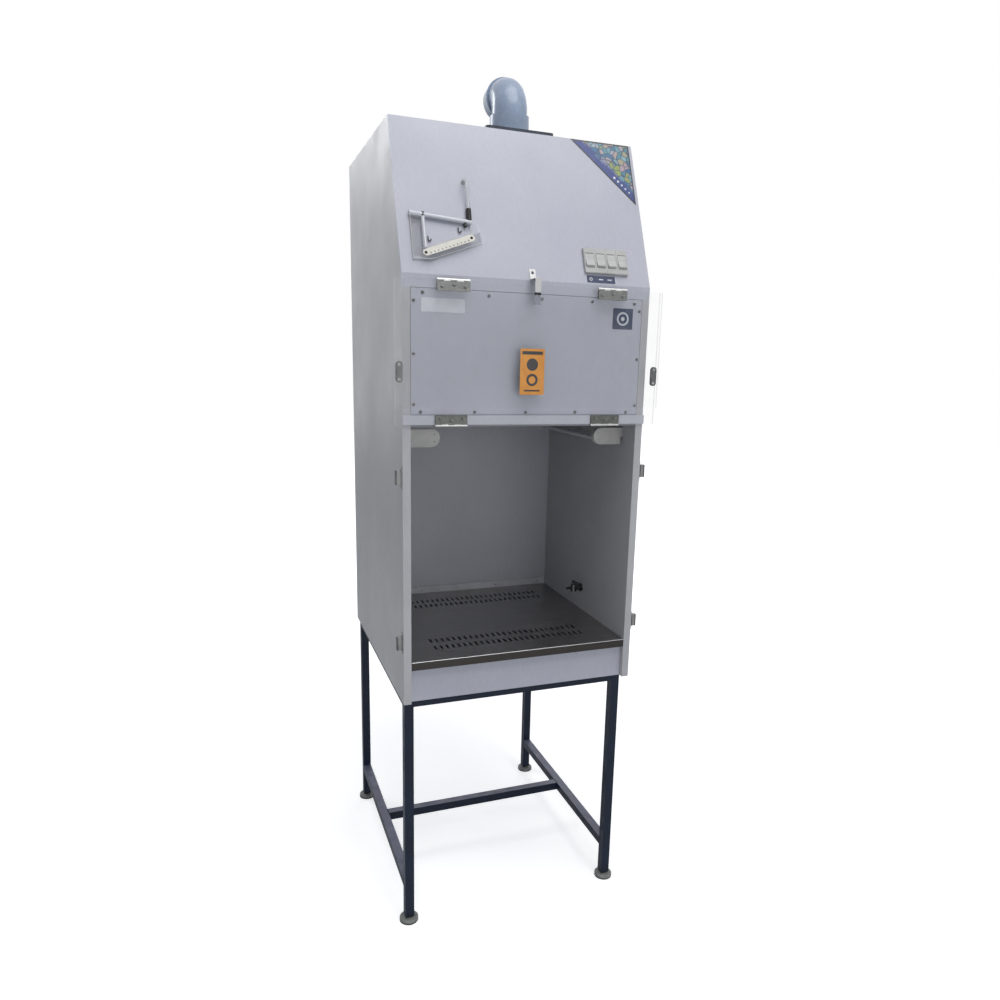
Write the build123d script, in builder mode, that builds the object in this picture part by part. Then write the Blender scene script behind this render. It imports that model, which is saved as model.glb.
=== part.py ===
"""Floor-standing laminar-flow biosafety cabinet: a laminated board cabinet on a welded steel stand.

Frame: millimetres, +Z up, X across the front, the work opening faces -Y. The origin is on the floor
under the middle of the overall box.
"""

import os
from math import asin, atan2, cos, degrees, radians, sin, sqrt, tan

from build123d import *

os.makedirs("parts", exist_ok=True)

# ---------------------------------------------------------------- driving dimensions (mm)
# Cabinet body
cabinet_width = 650.0
cabinet_depth = 732.0
side_thickness = 20.0
front_board = 12.0
rear_board = 12.0
roof_thickness = 20.0
floor_thickness = 20.0
base_height = 671.0  # underside of the cabinet above the floor
plinth_reveal = 91.0  # underside of the cabinet to the bottom of the tray lip
lip_height = 22.0
chamber_height = 607.0  # tray top to the underside of the hinge rail
chamber_depth = 588.0
hinge_rail_height = 23.0
service_panel_height = 295.0
top_rail_height = 31.0
slope_rise = 371.0
slope_run = 146.0
plinth_setback = 16.0
plinth_thickness = 20.0
header_drop = 5.0  # header board below the hinge rail
header_thickness = 20.0
panel_gap = 1.0

# Battens, filter and blower
batten = 20.0
diffuser_thickness = 2.0
diffuser_height = 9.0  # above the underside of the hinge rail
diffuser_cell = 58.0
diffuser_web = 14.0
filter_height = 146.0
filter_wall = 18.0
filter_clearance = 3.0
pleat_count = 22
pleat_thickness = 1.5
deck_rise = 226.0  # top of the service opening's sill to the underside of the deck
deck_thickness = 15.0
scroll_radius = 125.0
scroll_width = 110.0
scroll_sheet = 2.0
scroll_axis_rise = 150.0
scroll_axis_depth = 300.0
scroll_offset = -75.0
outlet_width = 90.0
inlet_radius = 70.0
impeller_radius = 95.0
impeller_width = 90.0
impeller_plate = 2.0
blade_chord = 22.0
blade_thickness = 1.2
blade_angle = 35.0
blade_count = 18
shaft_radius = 6.0
shaft_fit = 0.05
hub_radius = 14.0
motor_radius = 58.0
motor_length = 100.0
motor_foot_width = 60.0
exhaust_filter_width = 240.0
exhaust_filter_depth = 186.0
exhaust_filter_height = 70.0
exhaust_filter_wall = 8.0

# Work tray
tray_sheet = 1.2
tray_side_gap = 1.0
slot_length = 28.0
slot_width = 6.0
slot_pitch = 16.5
front_slots = 27
rear_slots = 26
front_slot_rows = (90.0, 142.0)
rear_slot_rows = (449.0, 497.0)
front_slots_offset = -4.0
rear_slots_offset = 18.0

# Clear folding door: two leaves, hinged under the rail and folded up in front of the service panel
leaf_thickness = 6.0
leaf_gap = 0.5
leaf_overhang = 22.0
leaf_edge = 1.5  # hinge axis to the edge of a leaf
leaf_corner = 3.0
upper_leaf_pitch = 339.0  # between the two hinge axes
lower_leaf_length = 294.0  # fold axis to the free edge
rail_axis_drop = 2.0
barrel_radius = 3.0
hinge_length = 80.0
hinge_plate = 1.2
hinge_plate_height = 24.0
hinge_spacing = 414.0
hinge_pin_radius = 1.5
hinge_pin_fit = 0.05
knuckle_gap = 0.3
knuckles = 5

# Magnetic catches and their strike plates
catch_inset = 126.5  # from the outer hinge axis or edge line to the catch centre
catch_flange_height = 54.0
catch_flange = 2.0
catch_depth = 15.0
catch_body_height = 34.0
catch_reach = 14.0
pole_thickness = 2.5
pole_gap = 1.0
strike_width = 16.0
strike_height = 49.0
strike_thickness = 1.2
strike_inset = 2.0

# Holding strap
strap_width = 16.0
strap_thickness = 1.5
strap_pin_drop = 21.0  # below the fold axis
strap_barrel_radius = 2.5
strap_barrel_wall = 1.4
strap_clearance = 0.3
strap_rise = 34.0
strap_tab_length = 28.0
strap_stand_off = 0.4
strap_hole_radius = 4.0
strap_hole_up = 19.0  # up the slope from the kink
strap_stud_radius = 2.0
strap_stud_height = 3.6
strap_base_height = 26.0

# Fittings on the slope, placed by distance in from the nearer outer face and up the slope from the kink
switch_plate_width = 121.0
switch_plate_height = 67.0
switch_plate_thickness = 8.0
switch_plate_inset = 122.5
switch_plate_up = 60.5
switch_count = 4
rocker_width = 22.0
rocker_radius = 19.0
rocker_face = 8.0
rocker_back = 6.0
rocker_throw = 14.0
rocker_gap = 0.4
rocker_pin_radius = 1.2
switch_well_depth = 26.0
switch_box_wall = 3.0
manometer_thickness = 14.0
manometer_inset = 28.0
manometer_stem_width = 28.0
manometer_bottom = 30.0
manometer_base = 43.0  # level part of the lower edge
manometer_length = 173.0
manometer_tilt = 21.5
manometer_limb_height = 31.0
manometer_block_inset = 174.0
manometer_block_width = 19.0
top_tube_radius = 5.5
top_tube_up = 147.0
top_tube_length = 151.0
top_tube_drop = 5.0
side_tube_radius = 4.5
scale_length = 138.0
scale_width = 17.0
scale_thickness = 1.6
hose_radius = 5.5
hose_grommet_radius = 7.0
hose_port_radius = 2.6
hose_port_length = 12.0
hose_entry_inset = 171.0
hose_entry_up = 240.0
hose_port_inset = 175.0

# Gas cock on the right-hand chamber wall
cock_depth = 291.0
cock_height = 70.0  # above the tray
cock_body_radius = 8.0
cock_flange_radius = 13.0
cock_flange = 4.0
cock_reach = 46.0
cock_barrel_radius = 9.0
cock_barrel_height = 22.0
cock_barrel_out = 22.0
cock_nozzle_radius = 4.0
cock_nozzle_length = 16.0
cock_stem_radius = 3.5
cock_stem_fit = 0.05
cock_stem_length = 24.0
cock_lever_length = 25.0
cock_knob_radius = 6.0
knob_sides = 16
cock_tail_radius = 6.5
cock_tail_reach = 20.0
cock_nut_radius = 12.0
cock_nut_height = 6.0

# Lamp fittings along the chamber's side walls
lamp_front = 66.0
lamp_cap_depth = 18.0
lamp_cap_height = 45.0
lamp_cap_reach = 90.0
lamp_cap_wall_gap = 8.0
lamp_drop = 39.5  # underside of the hinge rail to the fitting's centre
lamp_batten_width = 26.0
lamp_batten_height = 26.0
lamp_tube_radius = 8.0
lamp_tube_out = 32.0
lamp_tube_drop = 14.0

# Exhaust duct
duct_right = 21.0
duct_depth = 256.0
duct_plate_width = 184.0
duct_plate_thickness = 12.0
pipe_radius = 45.0
pipe_wall = 3.0
socket_radius = 52.0
socket_length = 49.0
socket_fit = 0.3
outlet_length = 40.0
elbow_turn = 6.0  # how far the outlet points off straight back, towards +X
bend_lead = 9.0
bend_radius = 53.0
bend_outer_radius = 46.5
bend_inner_radius = 42.0

# Steel stand
stand_side_inset = 8.5
stand_front_inset = 35.0
tube = 25.0
tube_wall = 2.0
leg_foot_height = 19.0  # floor to the open end of a leg
stretcher_top = 126.0
cross_stretcher_depth = 386.0
weld_gap = 0.1  # between the cross stretcher's ends and the side stretchers
insert_flange = 3.0
insert_depth = 20.0
insert_fit = 0.1
foot_radius = 26.0
foot_height = 12.0
foot_chamfer = 3.0
foot_stud_radius = 5.0
foot_stud_fit = 0.05
foot_stud_length = 24.0

# Service panel screws: the end ones from the cabinet's inner faces, the others from the centre line, and
# the ones at the sides up from the panel's lower edge
screw_radius = 2.0
screw_hole_fit = 0.2
screw_pilot_fit = 0.05
screw_head_radius = 4.5
screw_head_height = 2.0
screw_length = 24.0
screw_sides = 12
top_end_screws = (29.0, 23.0)
top_middle_screws = (-113.0, 25.0, 162.0)
bottom_end_screws = (24.0, 32.0)
bottom_middle_screws = (-145.0, -11.0, 126.0)
side_screws = (25.0, 144.0, 266.0)
screw_edge = 7.5
top_screw_edge = 11.0

# ---------------------------------------------------------------- derived places
half_width = cabinet_width / 2
inner_half = half_width - side_thickness
slope_angle = degrees(atan2(slope_run, slope_rise))
slope_cos = cos(radians(slope_angle))
slope_sin = sin(radians(slope_angle))

tray_bottom = base_height + plinth_reveal
tray_top = tray_bottom + lip_height
rail_bottom = tray_top + chamber_height
sill = rail_bottom + hinge_rail_height
panel_top = sill + service_panel_height
kink = panel_top + top_rail_height
roof_top = kink + slope_rise
roof_bottom = roof_top - roof_thickness
deck_bottom = sill + deck_rise
deck_top = deck_bottom + deck_thickness
diffuser_bottom = rail_bottom + diffuser_height
diffuser_top = diffuser_bottom + diffuser_thickness
filter_bottom = diffuser_top + batten

rail_proud = leaf_thickness + leaf_gap
fold_step = leaf_thickness + 2 * barrel_radius
lower_leaf_out = rail_proud + barrel_radius + fold_step + barrel_radius + leaf_thickness
strap_axis_out = lower_leaf_out + strap_barrel_radius + strap_clearance
front_reach = strap_axis_out + strap_barrel_radius
foot_overhang = max(0.0, foot_radius - tube / 2)  # the rear pads stand out behind the cabinet
front = (front_reach - cabinet_depth - foot_overhang) / 2  # Y of the side panels' front edges
back = front + cabinet_depth
chamber_back_face = front + chamber_depth

rail_axis_y = front - rail_proud - barrel_radius
rail_axis_z = rail_bottom - rail_axis_drop
fold_axis_y = rail_axis_y - fold_step
fold_axis_z = rail_axis_z + upper_leaf_pitch
upper_leaf_front = rail_axis_y - barrel_radius - leaf_thickness
upper_leaf_back = rail_axis_y - barrel_radius
lower_leaf_front = fold_axis_y - barrel_radius - leaf_thickness
lower_leaf_back = fold_axis_y - barrel_radius
leaf_half = half_width + leaf_overhang
hinge_centres = (-hinge_spacing / 2, hinge_spacing / 2)
upper_catch_z = rail_axis_z - catch_inset
lower_catch_z = rail_axis_z - 2 * upper_leaf_pitch + catch_inset
upper_strike_z = rail_axis_z + catch_inset
lower_strike_z = fold_axis_z - (rail_axis_z - upper_leaf_pitch - lower_catch_z)
strike_x = leaf_half - strike_inset - strike_width / 2
strap_axis_y = front - strap_axis_out
strap_axis_z = fold_axis_z - strap_pin_drop
impeller_axis_y = front + scroll_axis_depth
impeller_axis_z = deck_top + scroll_axis_rise
duct_y = front + duct_depth
leg_x = half_width - stand_side_inset - tube / 2
front_leg_y = front + stand_front_inset + tube / 2
rear_leg_y = back - tube / 2
cock_z = tray_top + cock_height
cock_y = front + cock_depth
lamp_z = rail_bottom - lamp_drop

switch_plate_right = half_width - switch_plate_inset
manometer_left = -half_width + manometer_inset
manometer_block_left = -half_width + manometer_block_inset
hose_entry_right = -half_width + hose_entry_inset
hose_port_right = -half_width + hose_port_inset

slope_plane = Plane(origin=(0, front, kink), x_dir=(1, 0, 0), z_dir=(0, -slope_cos, slope_sin))
off_slope = Axis(slope_plane.origin, slope_plane.z_dir)


# ---------------------------------------------------------------- helpers
def block(x, y, z, mode=Mode.ADD):
    """A rectangular block between two limits on each axis, in the part being built."""
    with Locations(((x[0] + x[1]) / 2, (y[0] + y[1]) / 2, (z[0] + z[1]) / 2)):
        Box(x[1] - x[0], y[1] - y[0], z[1] - z[0], mode=mode)


def rod(start, direction, radius, length, mode=Mode.ADD, sides=0):
    """A round bar, or one with flat sides, from a start point along a direction, in the part being built."""
    with BuildSketch(Plane(origin=start, z_dir=direction)) as section:
        if sides:
            RegularPolygon(radius, sides)
        else:
            Circle(radius)
    extrude(section.sketch, amount=length, mode=mode)


def both_sides(inner, outer, side):
    """X limits of something between two distances from the centre line, on one side."""
    return tuple(sorted((side * inner, side * outer)))


def save(builder, name):
    """Label a finished piece and write it."""
    builder.part.label = name
    export_step(builder.part, f"parts/{name}.step")


# ---------------------------------------------------------------- cabinet boards
def side_panel(side):
    """A side of the cabinet, cut back for the front boards and following the slope."""
    behind_slope = front_board / slope_cos
    with BuildPart() as panel:
        with BuildSketch(Plane.YZ.offset(min(side * half_width, side * inner_half))):
            with BuildLine():
                Polyline(
                    (front, base_height),
                    (front, panel_top),
                    (front + front_board, panel_top),
                    (front + front_board, kink),
                    (front + behind_slope, kink),
                    (front + behind_slope + slope_run, roof_top),
                    (back, roof_top),
                    (back, base_height),
                    close=True,
                )
            make_face()
        extrude(amount=side_thickness)
        if side > 0:
            rod((inner_half, cock_y, cock_z), (1, 0, 0), cock_tail_radius + cock_stem_fit, side_thickness,
                Mode.SUBTRACT)
    return panel


save(side_panel(-1), "side_panel_left")
save(side_panel(1), "side_panel_right")

with BuildPart() as rear_panel:
    block((-inner_half, inner_half), (back - rear_board, back), (base_height, roof_top))
save(rear_panel, "rear_panel")

with BuildPart() as roof_panel:
    roof_front = front + slope_run + front_board / slope_cos
    block((-inner_half, inner_half), (roof_front, back - rear_board), (roof_bottom, roof_top))
    rod((duct_right, duct_y, roof_bottom), (0, 0, 1), pipe_radius + socket_fit, roof_thickness, Mode.SUBTRACT)
save(roof_panel, "roof_panel")

with BuildPart() as sloped_fascia:
    with BuildSketch(Plane.YZ.offset(-half_width)):
        with BuildLine():
            Polyline(
                (front, kink),
                (front + slope_run, roof_top),
                (front + slope_run + front_board / slope_cos, roof_top),
                (front + front_board / slope_cos, kink),
                close=True,
            )
        make_face()
    extrude(amount=cabinet_width)
    with BuildSketch(slope_plane):
        with Locations((switch_plate_right, switch_plate_up)):
            Rectangle(switch_plate_width - 2 * switch_box_wall, switch_plate_height - 2 * switch_box_wall)
        with Locations((hose_entry_right, hose_entry_up)):
            Circle(hose_radius + socket_fit)
        with Locations((0, strap_hole_up)):
            Circle(strap_stud_radius)
    extrude(amount=-2 * front_board, mode=Mode.SUBTRACT)
save(sloped_fascia, "sloped_fascia")

with BuildPart() as top_rail:
    block((-half_width, half_width), (front, front + front_board), (panel_top, kink))
save(top_rail, "top_rail")

with BuildPart() as hinge_rail:
    block((-half_width, half_width), (front - rail_proud, front), (rail_bottom, sill))
    fillet(hinge_rail.edges().filter_by(Axis.X).group_by(Axis.Y)[0], radius=leaf_gap)
save(hinge_rail, "hinge_rail")

with BuildPart() as header_board:
    block((-inner_half, inner_half), (front, front + header_thickness), (rail_bottom - header_drop, sill))
save(header_board, "header_board")


def panel_screw_points():
    """The sixteen screw places on the service panel, as X and Z."""
    side_x = inner_half - screw_edge
    points = []
    for ends, middle, z in (
        (top_end_screws, top_middle_screws, panel_top - top_screw_edge),
        (bottom_end_screws, bottom_middle_screws, sill + screw_edge),
    ):
        points += [(x, z) for x in (ends[0] - inner_half, *middle, inner_half - ends[1])]
    points += [(side * side_x, sill + z) for side in (-1, 1) for z in side_screws]
    return points


with BuildPart() as service_panel:
    block((-inner_half + panel_gap, inner_half - panel_gap), (front, front + front_board),
          (sill + panel_gap, panel_top - panel_gap))
    for x, z in panel_screw_points():
        rod((x, front, z), (0, 1, 0), screw_radius + screw_hole_fit, front_board, Mode.SUBTRACT, screw_sides)
save(service_panel, "service_panel")

with BuildPart() as service_panel_screws:
    for x, z in panel_screw_points():
        rod((x, front - screw_head_height, z), (0, 1, 0), screw_head_radius, screw_head_height, sides=screw_sides)
        rod((x, front, z), (0, 1, 0), screw_radius, screw_length, sides=screw_sides)
save(service_panel_screws, "service_panel_screws")

with BuildPart() as inner_battens:
    batten_y = (front + front_board, front + front_board + batten)
    block((-inner_half, inner_half), batten_y, (sill, panel_top))
    block((-inner_half + batten, inner_half - batten), batten_y, (sill + batten, panel_top - batten), Mode.SUBTRACT)
    for x, z in panel_screw_points():
        rod((x, front + front_board, z), (0, 1, 0), screw_radius + screw_pilot_fit,
            screw_length - front_board + screw_head_height, Mode.SUBTRACT, screw_sides)
    for side in (-1, 1):
        edge = both_sides(inner_half - batten, inner_half, side)
        block(edge, (front + header_thickness + batten, chamber_back_face), (diffuser_top, filter_bottom))
        block(edge, (front + plinth_setback + plinth_thickness, chamber_back_face),
              (tray_top - tray_sheet - batten, tray_top - tray_sheet))
    block((-inner_half + batten, inner_half - batten), (chamber_back_face - batten, chamber_back_face),
          (tray_top - tray_sheet - batten, tray_top - tray_sheet))
save(inner_battens, "inner_battens")

with BuildPart() as plinth_board:
    block((-inner_half, inner_half), (front + plinth_setback, front + plinth_setback + plinth_thickness),
          (base_height, tray_top - tray_sheet))
save(plinth_board, "plinth_board")

with BuildPart() as floor_board:
    block((-inner_half, inner_half), (front + plinth_setback + plinth_thickness, back - rear_board),
          (base_height, base_height + floor_thickness))
save(floor_board, "floor_board")

with BuildPart() as chamber_back:
    block((-inner_half, inner_half), (chamber_back_face, chamber_back_face + rear_board),
          (tray_top - tray_sheet - batten, deck_top))
save(chamber_back, "chamber_back")

with BuildPart() as back_cleat:
    block((-inner_half + tray_side_gap, inner_half - tray_side_gap), (chamber_back_face - 3, chamber_back_face),
          (tray_top, tray_top + lip_height))
save(back_cleat, "back_cleat")

# ---------------------------------------------------------------- slotted work tray
with BuildPart() as work_tray:
    tray_half = inner_half - tray_side_gap
    tray_y = (front, chamber_back_face - 3 - panel_gap)
    block((-tray_half, tray_half), tray_y, (tray_top - tray_sheet, tray_top))
    block((-tray_half, tray_half), (front, front + tray_sheet), (tray_bottom, tray_top))
    fillet(work_tray.edges().filter_by(Axis.X).group_by(Axis.Y)[0].sort_by(Axis.Z)[-1], radius=tray_sheet * 0.9)
    with BuildSketch(Plane.XY.offset(tray_top - tray_sheet)):
        for rows, count, offset in ((front_slot_rows, front_slots, front_slots_offset),
                                    (rear_slot_rows, rear_slots, rear_slots_offset)):
            for row in rows:
                with Locations((offset, front + row)):
                    with GridLocations(slot_pitch, 0, count, 1):
                        Rectangle(slot_width, slot_length)
    extrude(amount=tray_sheet, mode=Mode.SUBTRACT)
save(work_tray, "work_tray")

# ---------------------------------------------------------------- air path above the chamber
with BuildPart() as ceiling_diffuser:
    diffuser_y = (front + header_thickness + panel_gap, chamber_back_face - panel_gap)
    block((-inner_half + panel_gap, inner_half - panel_gap), diffuser_y, (diffuser_bottom, diffuser_top))
    cell_pitch = diffuser_cell + diffuser_web
    cells_x = int((2 * (inner_half - batten) - diffuser_web) // cell_pitch)
    cells_y = int((diffuser_y[1] - diffuser_y[0] - diffuser_web) // cell_pitch)
    with BuildSketch(Plane.XY.offset(diffuser_bottom)):
        with Locations((0, sum(diffuser_y) / 2)):
            with GridLocations(cell_pitch, cell_pitch, cells_x, cells_y):
                Rectangle(diffuser_cell, diffuser_cell)
    extrude(amount=diffuser_thickness, mode=Mode.SUBTRACT)
save(ceiling_diffuser, "ceiling_diffuser")

filter_half = inner_half - filter_clearance
filter_y = (front + front_board + batten + filter_clearance, chamber_back_face - filter_clearance)
with BuildPart() as supply_filter_frame:
    block((-filter_half, filter_half), filter_y, (filter_bottom, filter_bottom + filter_height))
    block((-filter_half + filter_wall, filter_half - filter_wall),
          (filter_y[0] + filter_wall, filter_y[1] - filter_wall),
          (filter_bottom, filter_bottom + filter_height), Mode.SUBTRACT)
save(supply_filter_frame, "supply_filter_frame")

pack_y = (filter_y[0] + filter_wall, filter_y[1] - filter_wall)
pack_z = (filter_bottom + filter_wall / 2, filter_bottom + filter_height - filter_wall / 2)
pleat_pitch = (pack_y[1] - pack_y[0] - pleat_thickness) / (2 * pleat_count)
with BuildPart() as supply_filter_pack:
    folds = [(pack_y[0] + i * pleat_pitch, pack_z[i % 2]) for i in range(2 * pleat_count + 1)]
    other_face = [(y + pleat_thickness, z) for y, z in reversed(folds)]
    with BuildSketch(Plane.YZ.offset(-filter_half + filter_wall)):
        with BuildLine():
            Polyline(*folds, *other_face, close=True)
        make_face()
    extrude(amount=2 * (filter_half - filter_wall))
save(supply_filter_pack, "supply_filter_pack")

scroll_x = (scroll_offset - scroll_width / 2, scroll_offset + scroll_width / 2)
outlet_y = (impeller_axis_y + scroll_radius - outlet_width, impeller_axis_y + scroll_radius)
with BuildPart() as blower_deck:
    block((-inner_half, inner_half), (front + front_board + batten, chamber_back_face), (deck_bottom, deck_top))
    block((scroll_x[0] + scroll_sheet, scroll_x[1] - scroll_sheet),
          (outlet_y[0] + scroll_sheet, outlet_y[1] - scroll_sheet), (deck_bottom, deck_top), Mode.SUBTRACT)
save(blower_deck, "blower_deck")


def scroll_section(plane, inset):
    """The blower's side outline: a drum with a straight outlet leg down to the deck."""
    with BuildSketch(plane) as outline:
        with Locations((impeller_axis_y, impeller_axis_z)):
            Circle(scroll_radius - inset)
        with Locations((sum(outlet_y) / 2, (deck_top + impeller_axis_z) / 2)):
            Rectangle(outlet_width - 2 * inset, scroll_axis_rise)
    return outline.sketch


with BuildPart() as blower_housing:
    extrude(scroll_section(Plane.YZ.offset(scroll_x[0]), 0), amount=scroll_width)
    extrude(scroll_section(Plane.YZ.offset(scroll_x[0] + scroll_sheet), scroll_sheet),
            amount=scroll_width - 2 * scroll_sheet, mode=Mode.SUBTRACT)
    rod((scroll_x[0], impeller_axis_y, impeller_axis_z), (1, 0, 0), inlet_radius, scroll_sheet, Mode.SUBTRACT)
    rod((scroll_x[1] - scroll_sheet, impeller_axis_y, impeller_axis_z), (1, 0, 0), hub_radius, scroll_sheet,
        Mode.SUBTRACT)
save(blower_housing, "blower_housing")

impeller_start = scroll_offset - impeller_width / 2
impeller_end = impeller_start + impeller_width
with BuildPart() as impeller:
    axis_point = (impeller_axis_y, impeller_axis_z)
    blade_ring = impeller_radius - blade_chord / 2
    with BuildSketch(Plane.YZ.offset(impeller_end - impeller_plate)):
        with Locations(axis_point):
            Circle(impeller_radius)
    extrude(amount=impeller_plate)
    with BuildSketch(Plane.YZ.offset(impeller_start)):
        with Locations(axis_point):
            Circle(impeller_radius)
            Circle(impeller_radius - blade_chord, mode=Mode.SUBTRACT)
    extrude(amount=impeller_plate)
    with BuildSketch(Plane.YZ.offset(impeller_start + impeller_plate)):
        with Locations(axis_point):
            with PolarLocations(blade_ring, blade_count):
                Rectangle(blade_chord * cos(radians(blade_angle)), blade_thickness, rotation=blade_angle)
    extrude(amount=impeller_width - 2 * impeller_plate)
    rod((impeller_end, impeller_axis_y, impeller_axis_z), (-1, 0, 0), hub_radius, impeller_width / 3)
    rod((impeller_end, impeller_axis_y, impeller_axis_z), (-1, 0, 0), shaft_radius, impeller_width / 2, Mode.SUBTRACT)
save(impeller, "impeller")

shaft_start = impeller_end - impeller_width / 3
shaft_length = impeller_width / 3 + (scroll_x[1] - impeller_end) + motor_length / 2
with BuildPart() as motor_shaft:
    rod((shaft_start, impeller_axis_y, impeller_axis_z), (1, 0, 0), shaft_radius, shaft_length)
    chamfer(motor_shaft.edges().group_by(Axis.X)[-1], length=1)
save(motor_shaft, "motor_shaft")

with BuildPart() as blower_motor:
    rod((scroll_x[1], impeller_axis_y, impeller_axis_z), (1, 0, 0), motor_radius, motor_length)
    chamfer(blower_motor.edges().group_by(Axis.X)[-1], length=motor_radius / 6)
    block((scroll_x[1], scroll_x[1] + motor_length * 0.8),
          (impeller_axis_y - motor_foot_width / 2, impeller_axis_y + motor_foot_width / 2),
          (deck_top, impeller_axis_z - motor_radius * 0.8))
    rod((scroll_x[1], impeller_axis_y, impeller_axis_z), (1, 0, 0), shaft_radius + shaft_fit,
        motor_length / 2 + hub_radius, Mode.SUBTRACT)
save(blower_motor, "blower_motor")

with BuildPart() as exhaust_filter:
    filter_x = (duct_right - exhaust_filter_width / 2, duct_right + exhaust_filter_width / 2)
    exhaust_y = (duct_y - exhaust_filter_depth / 2 + exhaust_filter_wall, duct_y + exhaust_filter_depth / 2
                 + exhaust_filter_wall)
    exhaust_z = (roof_bottom - exhaust_filter_height, roof_bottom)
    wall = exhaust_filter_wall
    block(filter_x, exhaust_y, exhaust_z)
    block((filter_x[0] + wall, filter_x[1] - wall), (exhaust_y[0] + wall, exhaust_y[1] - wall),
          (exhaust_z[1] - 2 * wall, exhaust_z[1] - wall), Mode.SUBTRACT)
    rod((duct_right, duct_y, exhaust_z[1] - wall), (0, 0, 1), pipe_radius - pipe_wall, wall, Mode.SUBTRACT)
save(exhaust_filter, "exhaust_filter")

# ---------------------------------------------------------------- exhaust duct on the roof
plate_top = roof_top + duct_plate_thickness
with BuildPart() as duct_flange:
    with BuildSketch(Plane.XY.offset(roof_top)):
        with Locations((duct_right, duct_y)):
            RectangleRounded(duct_plate_width, duct_plate_width, duct_plate_thickness)
    extrude(amount=duct_plate_thickness)
    rod((duct_right, duct_y, roof_bottom), (0, 0, 1), pipe_radius, plate_top - roof_bottom + socket_length - 2)
    rod((duct_right, duct_y, roof_bottom), (0, 0, 1), pipe_radius - pipe_wall,
        plate_top - roof_bottom + socket_length, Mode.SUBTRACT)
save(duct_flange, "duct_flange")

bend_z = plate_top + socket_length + bend_lead
outlet_axis_z = bend_z + bend_radius
outlet_way = (sin(radians(elbow_turn)), cos(radians(elbow_turn)), 0)
outlet_start = (duct_right + bend_radius * outlet_way[0], duct_y + bend_radius * outlet_way[1], outlet_axis_z)
bend_axis = Axis((outlet_start[0], outlet_start[1], bend_z), (-outlet_way[1], outlet_way[0], 0))


def bend(radius):
    """The curved middle of the elbow, as a solid of one radius."""
    with BuildSketch(Plane.XY.offset(bend_z)) as section:
        with Locations((duct_right, duct_y)):
            Circle(radius)
    return revolve(section.sketch, axis=bend_axis, revolution_arc=90, mode=Mode.PRIVATE)


with BuildPart() as duct_bore:
    rod((duct_right, duct_y, plate_top), (0, 0, 1), pipe_radius + socket_fit, socket_length)
    rod((duct_right, duct_y, plate_top), (0, 0, 1), bend_inner_radius, socket_length + bend_lead)
    add(bend(bend_inner_radius))
    rod(outlet_start, outlet_way, pipe_radius + socket_fit, outlet_length)
with BuildPart() as duct_elbow:
    rod((duct_right, duct_y, plate_top), (0, 0, 1), socket_radius, socket_length)
    rod((duct_right, duct_y, plate_top), (0, 0, 1), bend_outer_radius, socket_length + bend_lead)
    add(bend(bend_outer_radius))
    rod(outlet_start, outlet_way, socket_radius, outlet_length)
    add(duct_bore.part, mode=Mode.SUBTRACT)
save(duct_elbow, "duct_elbow")


# ---------------------------------------------------------------- folding clear door and its hinges
def clear_leaf(front_y, bottom, top):
    """A clear door leaf with softened outer corners."""
    with BuildPart() as leaf:
        block((-leaf_half, leaf_half), (front_y, front_y + leaf_thickness), (bottom, top))
        fillet(leaf.edges().filter_by(Axis.Y), radius=leaf_corner)
    return leaf


save(clear_leaf(upper_leaf_front, rail_axis_z + leaf_edge, fold_axis_z - leaf_edge), "door_upper_leaf")
save(clear_leaf(lower_leaf_front, fold_axis_z - lower_leaf_length, fold_axis_z - leaf_edge), "door_lower_leaf")


def hinge_half(axis_y, axis_z, plate_y, plate_up, odd):
    """One half of each of a pair of butt hinges. The half with the end knuckles holds the pins."""
    knuckle = hinge_length / knuckles
    plate_z = (axis_z + plate_up * (barrel_radius + knuckle_gap), axis_z + plate_up * (leaf_edge + hinge_plate_height))
    with BuildPart() as half:
        for centre in hinge_centres:
            left = centre - hinge_length / 2
            block((left, left + hinge_length), plate_y, tuple(sorted(plate_z)))
            inward = barrel_radius if plate_y[0] > axis_y else -barrel_radius
            tail_y = tuple(sorted((axis_y + inward, axis_y + inward - hinge_plate * inward / barrel_radius)))
            for index in range(odd, knuckles, 2):
                start = left + index * knuckle + (knuckle_gap if index else 0)
                length = knuckle - (knuckle_gap if index else 0)
                rod((start, axis_y, axis_z), (1, 0, 0), barrel_radius, length)
                tail_z = tuple(sorted((axis_z, plate_z[0])))
                block((start, start + length), tail_y, tail_z)
                if odd:
                    rod((start, axis_y, axis_z), (1, 0, 0), hinge_pin_radius + hinge_pin_fit, length,
                        Mode.SUBTRACT)
            if not odd:
                rod((left, axis_y, axis_z), (1, 0, 0), hinge_pin_radius, hinge_length)
    return half


rail_plate_y = (front - rail_proud - hinge_plate, front - rail_proud)
upper_leaf_plate_y = (upper_leaf_back, upper_leaf_back + hinge_plate)
fold_upper_plate_y = (upper_leaf_front - hinge_plate, upper_leaf_front)
fold_lower_plate_y = (lower_leaf_back, lower_leaf_back + hinge_plate)
save(hinge_half(rail_axis_y, rail_axis_z, rail_plate_y, 1, 0), "rail_hinge_fixed_plates")
save(hinge_half(rail_axis_y, rail_axis_z, upper_leaf_plate_y, 1, 1), "rail_hinge_leaf_plates")
save(hinge_half(fold_axis_y, fold_axis_z, fold_upper_plate_y, -1, 0), "fold_hinge_upper_plates")
save(hinge_half(fold_axis_y, fold_axis_z, fold_lower_plate_y, -1, 1), "fold_hinge_lower_plates")


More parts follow.
